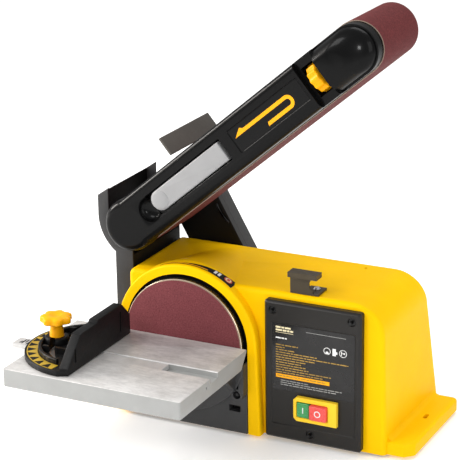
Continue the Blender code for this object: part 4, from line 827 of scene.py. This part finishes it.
# ---- table and miter gauge -----------------------------------------------------------------------
def make_table():
    bottom, low = TABLE_TOP - TABLE_THICKNESS, -HALF_DEPTH
    left, right = TABLE_LEFT, TABLE_RIGHT
    corner = 0.0022
    plan = [(left, TABLE_REAR), (right, TABLE_REAR)]
    plan += arc(right - corner, low + corner, corner, 0, -90, 6)
    plan += arc(left + corner, low + corner, corner, -90, -180, 6)
    levels = rounded(bottom, TABLE_TOP, 0.0016, 3)[:-1]
    levels += [(TABLE_TOP - 0.001, 0.0), (TABLE_TOP - 0.0003, 0.0003), (TABLE_TOP, 0.001)]
    table = plate(plan, levels, "table_top", "table", axis="Z")
    chamfer = plate([(-0.031, bottom - 0.0005), (TABLE_REAR + 0.02, bottom - 0.0005),
                     (TABLE_REAR + 0.02, TABLE_TOP - 0.003), (TABLE_REAR, TABLE_TOP - 0.003)], (-0.3, 0.2),
                    axis="X")
    skin = TABLE_TOP - 0.008
    rooms = [box((left + 0.006, low + 0.006, 0.05), (right - 0.006, SLOT_Y - 0.016, skin)),
             box((left + 0.006, SLOT_Y + 0.0125, 0.05), (right - 0.006, -0.0335, skin))]
    slot = box((-0.3, SLOT_Y - SLOT_WIDTH / 2, TABLE_TOP - SLOT_DEPTH),
               (0.1, SLOT_Y + SLOT_WIDTH / 2, TABLE_TOP + 0.01))
    notches = [box((x0 - 0.002, -0.06, 0.085), (x1 + 0.002, -0.01, 0.1085))
               for x0, x1 in ((0.012, 0.018), (-0.146, -0.14))]
    dot = cylinder((right - 0.004, SLOT_Y - 0.018, TABLE_TOP - 0.0085), 0.006, 0.0016, axis="X", steps=24)
    lip = SLOT_WIDTH / 2 + 0.001
    edges = [plate([(SLOT_Y + side * (lip + 0.001), TABLE_TOP + 0.001),
                    (SLOT_Y + side * (lip - 0.003), TABLE_TOP + 0.001),
                    (SLOT_Y + side * (lip - 0.003), TABLE_TOP - 0.003)], (-0.3, 0.1), axis="X")
             for side in (-1, 1)]
    carve(table, chamfer, *rooms, slot, *edges, *notches, dot)
    root = skin + 0.002
    ear = arc(PIVOT_Y, PIVOT_Z, 0.008, 180, 360, 20) + [(PIVOT_Y + 0.008, root), (PIVOT_Y - 0.008, root)]
    sector = arc(PIVOT_Y, PIVOT_Z, 0.041, -176, -100, 28)
    sector += [(PIVOT_Y + 0.008, PIVOT_Z), (PIVOT_Y + 0.008, root), (PIVOT_Y - 0.041, root)]
    fuse(table, plate(ear, (0.004, 0.0095), axis="X"), plate(sector, (-0.1535, -0.1485), axis="X"))
    tilt_slot = band(PIVOT_Y, PIVOT_Z, LOCK_RADIUS + 0.0036, LOCK_RADIUS - 0.0036,
                     LOCK_ANGLE - TABLE_TILT - 7, LOCK_ANGLE + 7, 24)
    holes = [cylinder((x, PIVOT_Y, PIVOT_Z), 0.02, 0.0035, axis="X", steps=32) for x in (-0.16, -0.005)]
    carve(table, plate(tilt_slot, (-0.17, -0.14), axis="X"), *holes)
    fit(soften(table, 0.0005, 2, 30), "table", "aluminium", "table")


def lobed(radius, depth, lobes, points):
    angles = [2 * math.pi * i / points for i in range(points)]
    radii = [radius - depth * (1 - math.cos(lobes * a)) / 2 for a in angles]
    return [(r * math.cos(a), r * math.sin(a)) for r, a in zip(radii, angles)]


def scaled_rings(outline, center, radius, levels, axis):
    """Rings of a lobed outline shrunk towards its centre, for (distance, reduction) levels."""
    turn = AXES[axis]
    rings = []
    for w, by in levels:
        size = 1 - by / radius
        rings.append([turn(center[0] + u * size, center[1] + v * size, w) for u, v in outline])
    return rings


def make_miter():
    bar_piece = box((-HALF_WIDTH, SLOT_Y - 0.0094, TABLE_TOP - SLOT_DEPTH + 0.0004),
                    (-0.029, SLOT_Y + 0.0094, BAR_TOP), "miter_slide_bar", "aluminium")
    holes = [cylinder((x, SLOT_Y, 0.1), 0.03, 0.0024, axis="Z", steps=24)
             for x in (MITER_X - KNOB_RADIUS, MITER_X)]
    carve(bar_piece, *holes)
    fit(soften(bar_piece, 0.0005, 2), "miter_slide", "aluminium", "miter_bar")
    make_bar_marks()
    bottom = TABLE_TOP + CLEARANCE
    outline = arc(MITER_X, SLOT_Y, MITER_RADIUS, 90, 270, 64)
    outline += [(MITER_X + 0.011, SLOT_Y - 0.07), (MITER_X + 0.011, SLOT_Y + 0.07)]
    levels = [(bottom, 0.0), (bottom + 0.0052, 0.0), (bottom + HEAD_THICKNESS, 0.0008)]
    head = plate(outline, levels, "protractor", "casting", axis="Z")
    low, high, top = SLOT_Y - 0.071, SLOT_Y + 0.071, TABLE_TOP + FENCE_HEIGHT
    fence = [(low, bottom), (high, bottom), (high, top - 0.018), (high - 0.018, top), (low + 0.069, top),
             (low + 0.066, top - 0.003), (low + 0.034, top - 0.003), (low + 0.03, top - 0.004),
             (low + 0.001, bottom + 0.0085), (low, bottom + 0.006)]
    fence_piece = plate(fence, rounded(MITER_X, MITER_X + 0.012, 0.0012, 3, True), axis="X")
    hub = turned([(0, 0), (0.015, 0), (0.0148, 0.01), (0.0138, 0.0126), (0.0125, 0.0138), (0, 0.0138)],
                 (MITER_X - KNOB_RADIUS, SLOT_Y, bottom), axis="Z", steps=56)
    wall = band(MITER_X, SLOT_Y, 0.06, 0.056, 100, 260, 40)
    rail = plate(wall, [(bottom, 0.0), (bottom + 0.0112, 0.0), (bottom + 0.012, 0.0007)], axis="Z")
    ribs = [box((MITER_X - 0.045, SLOT_Y + y - 0.002, bottom),
                (MITER_X + 0.002, SLOT_Y + y + 0.002, bottom + 0.0132)) for y in (-0.03, 0.03)]
    fuse(head, fence_piece, hub, rail, *ribs)
    swing = band(MITER_X, SLOT_Y, KNOB_RADIUS + 0.0034, KNOB_RADIUS - 0.0034, 117, 243, 32)
    seat = band(MITER_X, SLOT_Y, 0.0735, 0.0605, 96, 264, 60)
    grooves = [box((MITER_X + 0.011, SLOT_Y + y - 0.0015, bottom + 0.01),
                   (MITER_X + 0.02, SLOT_Y + y + 0.0015, top - 0.008)) for y in (-0.054, 0.048)]
    pivot = cylinder((MITER_X, SLOT_Y, bottom - 0.01), 0.014, 0.0028, axis="Z", steps=24)
    carve(head, plate(swing, (bottom - 0.01, bottom + 0.04), axis="Z"),
          plate(seat, (bottom + 0.0048, bottom + 0.0248), axis="Z"), pivot, *grooves)
    fit(soften(head, 0.0005, 3, 26), "miter_gauge", "black_plastic", "miter_head")
    scale = band(MITER_X, SLOT_Y, 0.0732, 0.0608, 97, 263, 60)
    fit(plate(scale, (bottom + 0.0051, bottom + HEAD_THICKNESS), "scale_band", "scale", axis="Z"),
        "miter_gauge", "scale_yellow", "miter_scale")
    make_scale_marks(bottom + HEAD_THICKNESS)
    make_miter_knob()


def make_bar_marks():
    """Dark lines across the bar's free end."""
    shapes = []
    for start, low, high, lean in ((0.0065, -0.005, 0.001, 0.0012), (0.0098, -0.006, 0.0062, 0.0),
                                   (0.013, -0.002, 0.0066, 0.0), (0.0162, -0.0066, 0.004, 0.0008),
                                   (0.0196, -0.006, 0.0064, 0.0), (0.024, -0.0062, 0.003, 0.001)):
        x = start - HALF_WIDTH
        shapes.append([(x, SLOT_Y + low), (x + 0.0017, SLOT_Y + low), (x + 0.0017 + lean, SLOT_Y + high),
                       (x + lean, SLOT_Y + high)])
    art("bar_marks", shapes, BAR_TOP, "black_matte", "miter_slide", "aluminium", axis="Z")


def make_scale_marks(z):
    """Wedges, the dial's generic marks."""
    width = math.radians(4.3)
    shapes = []
    for i in range(14):
        a = math.radians(103.5 + 11.6 * i)
        spots = [(0.0722, a - width), (0.0722, a + width), (0.0628, a + width * 0.15),
                 (0.0628, a - width * 0.15)]
        shapes.append([(MITER_X + r * math.cos(t), SLOT_Y + r * math.sin(t)) for r, t in spots])
    art("scale_marks", shapes, z, "black_matte", "miter_gauge", "black_plastic", axis="Z")


def make_miter_knob():
    x = MITER_X - KNOB_RADIUS
    base = TABLE_TOP + 0.0305
    levels = [(base + 0.0004, 0.003), (base + 0.0008, 0.0014), (base + 0.002, 0.0), (base + 0.0062, 0.0),
              (base + 0.008, 0.0012), (base + 0.0091, 0.0036), (base + 0.0095, 0.007)]
    outline = lobed(0.019, 0.003, 7, 168)
    knob = loft(scaled_rings(outline, (x, SLOT_Y), 0.02, levels, "Z"), "miter_grip", "yellow_plastic")
    stem = turned([(0, 0), (0.0085, 0), (0.008, 0.006), (0.0072, 0.012), (0.0085, 0.0165), (0.012, 0.0185),
                   (0, 0.0185)], (x, SLOT_Y, TABLE_TOP + 0.0142), axis="Z", steps=48)
    stud = cylinder((x, SLOT_Y, TABLE_TOP - 0.006), 0.024, 0.002, axis="Z", steps=24)
    fuse(knob, stem, stud)
    dimple = turned([(0, -0.0012), (0.005, -0.001), (0.0072, 0.0002), (0.0074, 0.004), (0, 0.004)],
                    (x, SLOT_Y, base + 0.0095), axis="Z", steps=48)
    carve(knob, dimple)
    fit(shade(knob, 32), "miter_clamp", "yellow_plastic", "miter_knob")


def make_lock_knob():
    turn = Matrix.Translation((-0.1685, LOCK_Y, LOCK_Z))
    levels = [(0, 0.003), (0.0006, 0.0012), (0.0018, 0.0), (0.0086, 0.0), (0.01, 0.0014)]
    knob = loft(scaled_rings(lobed(0.014, 0.0022, 6, 120), (0, 0), 0.014, levels, "X"), "lock_grip",
                "black_matte", turn)
    stem = cylinder((0.009, 0, 0), 0.0055, 0.006, turn, "X", 40)
    shank = cylinder((0.0045, 0, 0), 0.025, 0.003, turn, "X", 32)
    fuse(knob, stem, shank)
    fit(shade(knob, 32), "table_lock", "black_plastic", "table_lock_knob")


# ---- belt arm ------------------------------------------------------------------------------------
def make_cover():
    front, back = COVER_FRONT, COVER_BACK
    cover = plate(arm_stadium(COVER_RADIUS), rounded(front, back, 0.0075, 8), "cover", "black", ARM)
    step = box((BLOCK_START, -0.03, -0.05), (0.5, 0.006, 0.05), shift=ARM)
    cap = turned([(0, front)] + [(0.0315 - by, w) for w, by in rounded(front, back, 0.0085, 8)] +
                 [(0, back)], (0, 0, 0), shift=ARM, steps=96)
    fuse(carve(cover, step), cap)
    rings = []
    first = math.radians(22)
    for i in range(15):
        a = first + (math.radians(90) - first) * i / 14
        out = (math.sin(a) - math.sin(first)) / (1 - math.sin(first))
        depth = -0.013 + 0.019 * (math.cos(first) - math.cos(a)) / math.cos(first)
        line = arm_stadium(0.015 + 0.0116 * out, 0.2985, 0.338 + (SPACING - 0.338) * out, 48)
        rings.append([(u, depth, v) for u, v in line])
    rings.append([(u, 0.0075, v) for u, v in arm_stadium(0.0266, 0.2985, SPACING, 48)])
    block_piece = loft(rings, shift=ARM)
    carve(block_piece, box((0.2, -0.03, -0.05), (BLOCK_START, 0.03, 0.05), shift=ARM))
    fuse(cover, block_piece)
    hollow = plate(arm_stadium(0.0235), (0.0035, 0.0335), shift=ARM)
    rim = [(-0.02, -0.0012), (-0.0082, -0.001), (-0.0078, -0.0005), (-0.007, -0.0001), (-0.0062, 0.0),
           (0.0006, 0.0)]
    lever_room = plate(round_box(0.044, -0.0132, 0.169, 0.0142, 0.0012), rim, shift=ARM)
    dish = [(0.008, 0.0001), (0.0118, -0.002), (0.0138, -0.005), (0.015, -0.0078), (0.0162, -0.0084),
            (0.0162, -0.014), (0, -0.014)]
    finger = turned([(0, 0.0004)] + dish, (0.04, 0, -0.001), shift=ARM, steps=72)
    cam_room = box((0.148, -0.005, -0.013), (0.1688, 0.01, 0.014), shift=ARM)
    label_levels = [(-0.02, -0.0012), (-0.0081, -0.0009), (-0.007, 0.0)]
    label_room = plate(round_box(0.184, -0.0135, 0.293, 0.0145, 0.0008), label_levels, shift=ARM)
    knob_room = box((0.297, -0.02, -0.04), (BLOCK_START, -0.0005, 0.04), shift=ARM)
    knob_slot = box((0.301, -0.02, -0.019), (0.3215, 0.02, 0.019), shift=ARM)
    pin = cylinder((0.16, -0.0045, -0.02), 0.04, 0.0018, ARM, "Z", 24)
    carve(cover, hollow, lever_room, finger, cam_room, label_room, knob_room, knob_slot, pin)
    fit(shade(cover, 32), "arm", "black_plastic", "arm_cover")
    label = plate(round_box(0.185, -0.0125, 0.292, 0.0135, 0.0006), (-0.00705, -0.0069), "arm_label",
                  "arm_label", ARM)
    fit(label, "arm", "black_plastic")
    make_arrow()


def make_arrow():
    """The belt's running direction: a hooked arrow."""
    half = 0.00215
    outline = [(0.232, -0.007 - half)] + arc(0.268, -0.001, 0.006 + half, -90, 90, 16)
    outline += [(0.203, 0.005 + half), (0.1995, 0.01), (0.1878, 0.0028), (0.2, 0.005 - half)]
    outline += arc(0.268, -0.001, 0.006 - half, 90, -90, 16) + [(0.2335, -0.007 + half)]
    art("arm_arrow", [outline], -0.00706, "art_yellow", "arm", "black_plastic", ARM)


def make_lever():
    outline = arc(0.059, 0.0005, 0.0122, 90, 270, 36) + [(0.1655, -0.0117), (0.1655, 0.0127)]
    front = -0.0082
    lever = plate(outline, rounded(front, front + 0.0074, 0.0016, 5), "lever_body", "grey", ARM)
    dome = turned([(0, -0.0016)] +
                  [(0.0112 * math.sin(math.radians(a)), 0.0002 - 0.0018 * math.cos(math.radians(a)))
                   for a in range(10, 91, 10)] + [(0.0112, 0.003), (0, 0.003)], (0.059, front, 0.0005),
                  shift=ARM, steps=64)
    fuse(lever, dome)
    hole = cylinder((0.16, -0.0045, -0.03), 0.06, 0.0018, ARM, "Z", 24)
    carve(lever, hole)
    fit(shade(lever, 34), "lever", "grey_plastic", "tension_lever")


def make_tracking():
    start, depth = 0.3045, 0.008
    turn = ARM @ Matrix.Translation((start, depth, 0))
    levels = [(0, 0.0022), (0.0005, 0.001), (0.0016, 0.0), (0.0119, 0.0), (0.013, 0.001), (0.0135, 0.0022)]
    knob = loft(scaled_rings(lobed(0.017, 0.0016, 12, 240), (0, 0), 0.017, levels, "X"), "tracking_wheel",
                "yellow_plastic", turn)
    shank = cylinder((-0.0165, 0, 0), 0.031, 0.0025, turn, "X", 32)
    fuse(knob, shank)
    fit(shade(knob, 32), "tracking", "yellow_plastic", "tracking_knob")


def make_belt():
    """One loop: grit outside, cloth edges, and a bare back."""
    outer, inner = arm_stadium(BELT_OUTER, steps=64), arm_stadium(DRUM_RADIUS + MESH_GAP, steps=64)
    bm = bmesh.new()
    edges = ((outer, BELT_FRONT), (outer, BELT_REAR), (inner, BELT_REAR), (inner, BELT_FRONT))
    rows = [[bm.verts.new((u, y, v)) for u, v in line] for line, y in edges]
    for a, b in zip(rows, rows[1:] + rows[:1]):
        bridge(bm, a, b)
    belt = shade(from_bmesh("belt_loop", bm, "belt", ARM), 40)
    middle = SPACING / 2

    def rule(center, normal):
        if abs(normal.y) > 0.7:
            return 1
        away = Vector((center.x - min(max(center.x, 0), SPACING), 0, center.z))
        return 0 if normal.dot(away) > 0 or abs(center.x - middle) > 2 * SPACING else 2
    paint_faces(belt, ("belt", "cloth", "backing"), rule)
    fit(belt, "arm", "abrasive", "sanding_belt")


def make_work_rest():
    rest = box((0.093, 0.012, 0.035), (0.096, 0.133, 0.0585), "rest_plate", "sheet", ARM)
    leg = box((0.082, 0.1303, -0.014), (0.108, 0.1333, 0.04), shift=ARM)
    fuse(rest, leg)
    carve(rest, *[cylinder((0.095, 0.12, z), 0.03, 0.0024, ARM, "Y", 24) for z in (0.012, -0.006)])
    fit(soften(rest, 0.0006, 3), "arm", "dark_sheet", "work_rest")


# ---- dust chute, bracket, pulley cover and hook --------------------------------------------------
def chute_outline(outer, inner, left, right, top_left, top, steps=40):
    turn_out = 180 + math.degrees(math.acos(-(left - DRUM_X) / outer))
    turn_in = 180 + math.degrees(math.acos(-(right - DRUM_X) / inner))
    outline = [(DRUM_X - inner, DRUM_Z + top), (DRUM_X - outer, DRUM_Z + top_left)]
    outline += arc(DRUM_X, DRUM_Z, outer, 180, turn_out, steps)
    outline += [(left, 0.07), (right, 0.07)]
    return outline + arc(DRUM_X, DRUM_Z, inner, turn_in, 180, steps)


def make_chute():
    left, right, outer = -0.1575, BASE_LEFT - 0.0006, 0.055
    chute = plate(chute_outline(outer, 0.04, left, right, 0.0235, 0.034),
                  rounded(0.02, 0.14, 0.0012, 3, True), "chute", "casting")
    wall = 0.003
    throat = [(DRUM_X - outer + wall, DRUM_Z + 0.06)]
    turn_out = 180 + math.degrees(math.acos(-(left + wall - DRUM_X) / (outer - wall)))
    throat += arc(DRUM_X, DRUM_Z, outer - wall, 180, turn_out, 40)
    throat += [(left + wall, 0.06), (right - wall, 0.06), (right - wall, DRUM_Z - 0.05),
               (DRUM_X, DRUM_Z - 0.03), (DRUM_X, DRUM_Z + 0.06)]
    carve(chute, plate(throat, (0.023, 0.137)))
    # Front faces take the lighter grey casting: painted light on the front of the one black casting.
    paint_faces(soften(chute, 0.0005, 2, 26), ("black_matte", "guard"), lambda c, n: 1 if n.y < -0.5 else 0)
    fit(chute, "base", "dark_casting", "dust_chute")


def make_bracket():
    bracket = plate(pulley_stadium(0, 48), rounded(0.142, 0.15, 0.001, 3), "bracket", "casting")
    boss = cylinder((DRUM_X, 0.1245, DRUM_Z), 0.016 + 0.0035, 0.018, steps=72)
    ridge_line = band(-0.0458, 0.2398, 0.0392, 0.0374, 196, 237, 40)
    ridge = plate(ridge_line, [(0.139, 0.001), (0.14, 0.0), (0.144, 0.0)])
    fuse(bracket, boss, ridge)
    bearing = cylinder((DRUM_X, 0.1385, DRUM_Z), 0.03, 0.0115, steps=48)
    bore = cylinder((DRUM_X, 0.11, DRUM_Z), 0.06, 0.0075, steps=36)
    motor = cylinder((DISC_X, 0.11, DISC_Z), 0.06, 0.012, steps=48)
    carve(bracket, bearing, bore, motor)
    # Side faces, the ridge's too, take the lighter grey casting: painted light on the sides of the one
    # black casting.
    paint_faces(soften(bracket, 0.0005, 3, 25), ("casting", "guard"), lambda c, n: 1 if abs(n.y) < 0.5
                else 0)
    fit(bracket, "base", "dark_casting", "arm_bracket")
    rear_rim = [(0.1503 + 0.171 - w, by) for w, by in rounded(0.1503, 0.171, 0.002, 5)[-2::-1]]
    cover = plate(pulley_stadium(0, 48), [(0.1503, 0.0)] + rear_rim, "belt_guard", "guard")
    carve(cover, plate(pulley_stadium(-0.0025, 48), (0.14, 0.1685)))
    fit(soften(cover, 0.0005, 3, 30), "base", "black_plastic", "pulley_cover")


def make_hook():
    top = DRUM_Z - 0.029 - 0.0004
    hook = box((0.0755, 0.0105, BASE_TOP + 0.0003), (0.1035, 0.0135, top - 0.001), "hook", "hook")
    foot = box((0.0905, 0.011, BASE_TOP + 0.0003), (0.1105, 0.035, BASE_TOP + 0.003))
    shelf = box((0.0755, 0.003, top - 0.006), (0.1115, 0.018, top))
    fuse(hook, foot, shelf)
    notch = cylinder((0.1055, 0.0, top - 0.0145), 0.02, 0.007, steps=40)
    hole = cylinder((0.102, 0.026, BASE_TOP - 0.005), 0.02, 0.0024, axis="Z", steps=24)
    carve(hook, notch, hole)
    fit(soften(hook, 0.0009, 3), "base", "dark_sheet", "rest_hook")


# ---- studio --------------------------------------------------------------------------------------
def aim_camera():
    data = bpy.data.cameras.new("camera")
    data.sensor_width = SENSOR
    data.lens = SENSOR * FOCAL_PIXELS / IMAGE_PIXELS
    data.clip_end = 50
    camera = bpy.data.objects.new("camera", data)
    bpy.context.scene.collection.objects.link(camera)
    azimuth, elevation, roll = (math.radians(v) for v in CAMERA_TURN)
    back = Vector((math.sin(azimuth) * math.cos(elevation), -math.cos(azimuth) * math.cos(elevation),
                   math.sin(elevation)))
    right = Vector((math.cos(azimuth), math.sin(azimuth), 0))
    up = back.cross(right)
    across = right * math.cos(roll) + up * math.sin(roll)
    above = up * math.cos(roll) - right * math.sin(roll)
    turn = Matrix((across, above, back)).transposed().to_4x4()
    camera.matrix_world = Matrix.Translation(CAMERA_PLACE) @ turn
    bpy.context.scene.camera = camera


def lamp(name, place, aim, size, power, color=(1, 1, 1)):
    data = bpy.data.lights.new(name, "AREA")
    data.shape = "RECTANGLE"
    data.size, data.size_y = size
    data.energy = power
    data.color = color
    item = bpy.data.objects.new(name, data)
    item.location = place
    item.rotation_euler = (Vector(place) - Vector(aim)).to_track_quat("Z", "Y").to_euler()
    bpy.context.scene.collection.objects.link(item)
    return item


def make_studio():
    floor = box((-12, -12, -0.02), (12, 16, 0.0), "floor")
    mat, tree, shader = blank("studio_floor", Roughness=0.9)
    tone = ramp(tree, noise(tree, 3, 4), 0.3, 0.7, 0.92, 0.95)
    link(tree, shader, Base_Color=tone, Emission_Color=tone)
    shader.inputs["Emission Strength"].default_value = 0.24
    floor.data.materials.append(mat)
    world = bpy.data.worlds.new("studio")
    bpy.context.scene.world = world
    world.use_nodes = True
    tree = world.node_tree
    where = put(tree, "ShaderNodeTexCoord").outputs["Generated"]
    height = put(tree, "ShaderNodeSeparateXYZ", {"Vector": where}).outputs["Z"]
    sky = ramp(tree, height, 0.0, 0.9, 0.55, 1.0)
    tree.links.new(sky, tree.nodes["Background"].inputs["Color"])
    tree.nodes["Background"].inputs["Strength"].default_value = 0.66
    aim = (0.0, 0.0, 0.2)
    lights = [lamp("key", (-1.5, -2.3, 2.2), aim, (1.3, 1.0), 34),
              lamp("left", (-2.5, -0.5, 1.0), aim, (0.8, 0.9), 70, (1.0, 0.95, 0.9)),
              lamp("front", (1.0, -2.5, 1.12), aim, (0.3, 0.3), 12),
              lamp("right", (2.6, -0.9, 1.2), aim, (1.4, 1.6), 16),
              lamp("top", (0.2, 0.9, 2.4), aim, (1.8, 1.2), 26)]
    bpy.context.scene.view_settings.view_transform = "Standard"


finish_cad()
make_housing()
make_disc()
make_guard()
for guard_side, (guard_x, guard_z) in GUARD_SCREWS.items():
    screw_head(f"guard_screw_head_{guard_side}", (guard_x, -0.0073, guard_z), 0.0042, "base",
               "black_plastic", f"guard_screw_{guard_side}")
make_panel()
make_switch()
make_table()
make_miter()
make_lock_knob()
make_cover()
make_lever()
make_tracking()
make_belt()
make_work_rest()
make_chute()
make_bracket()
make_hook()
aim_camera()
make_studio()
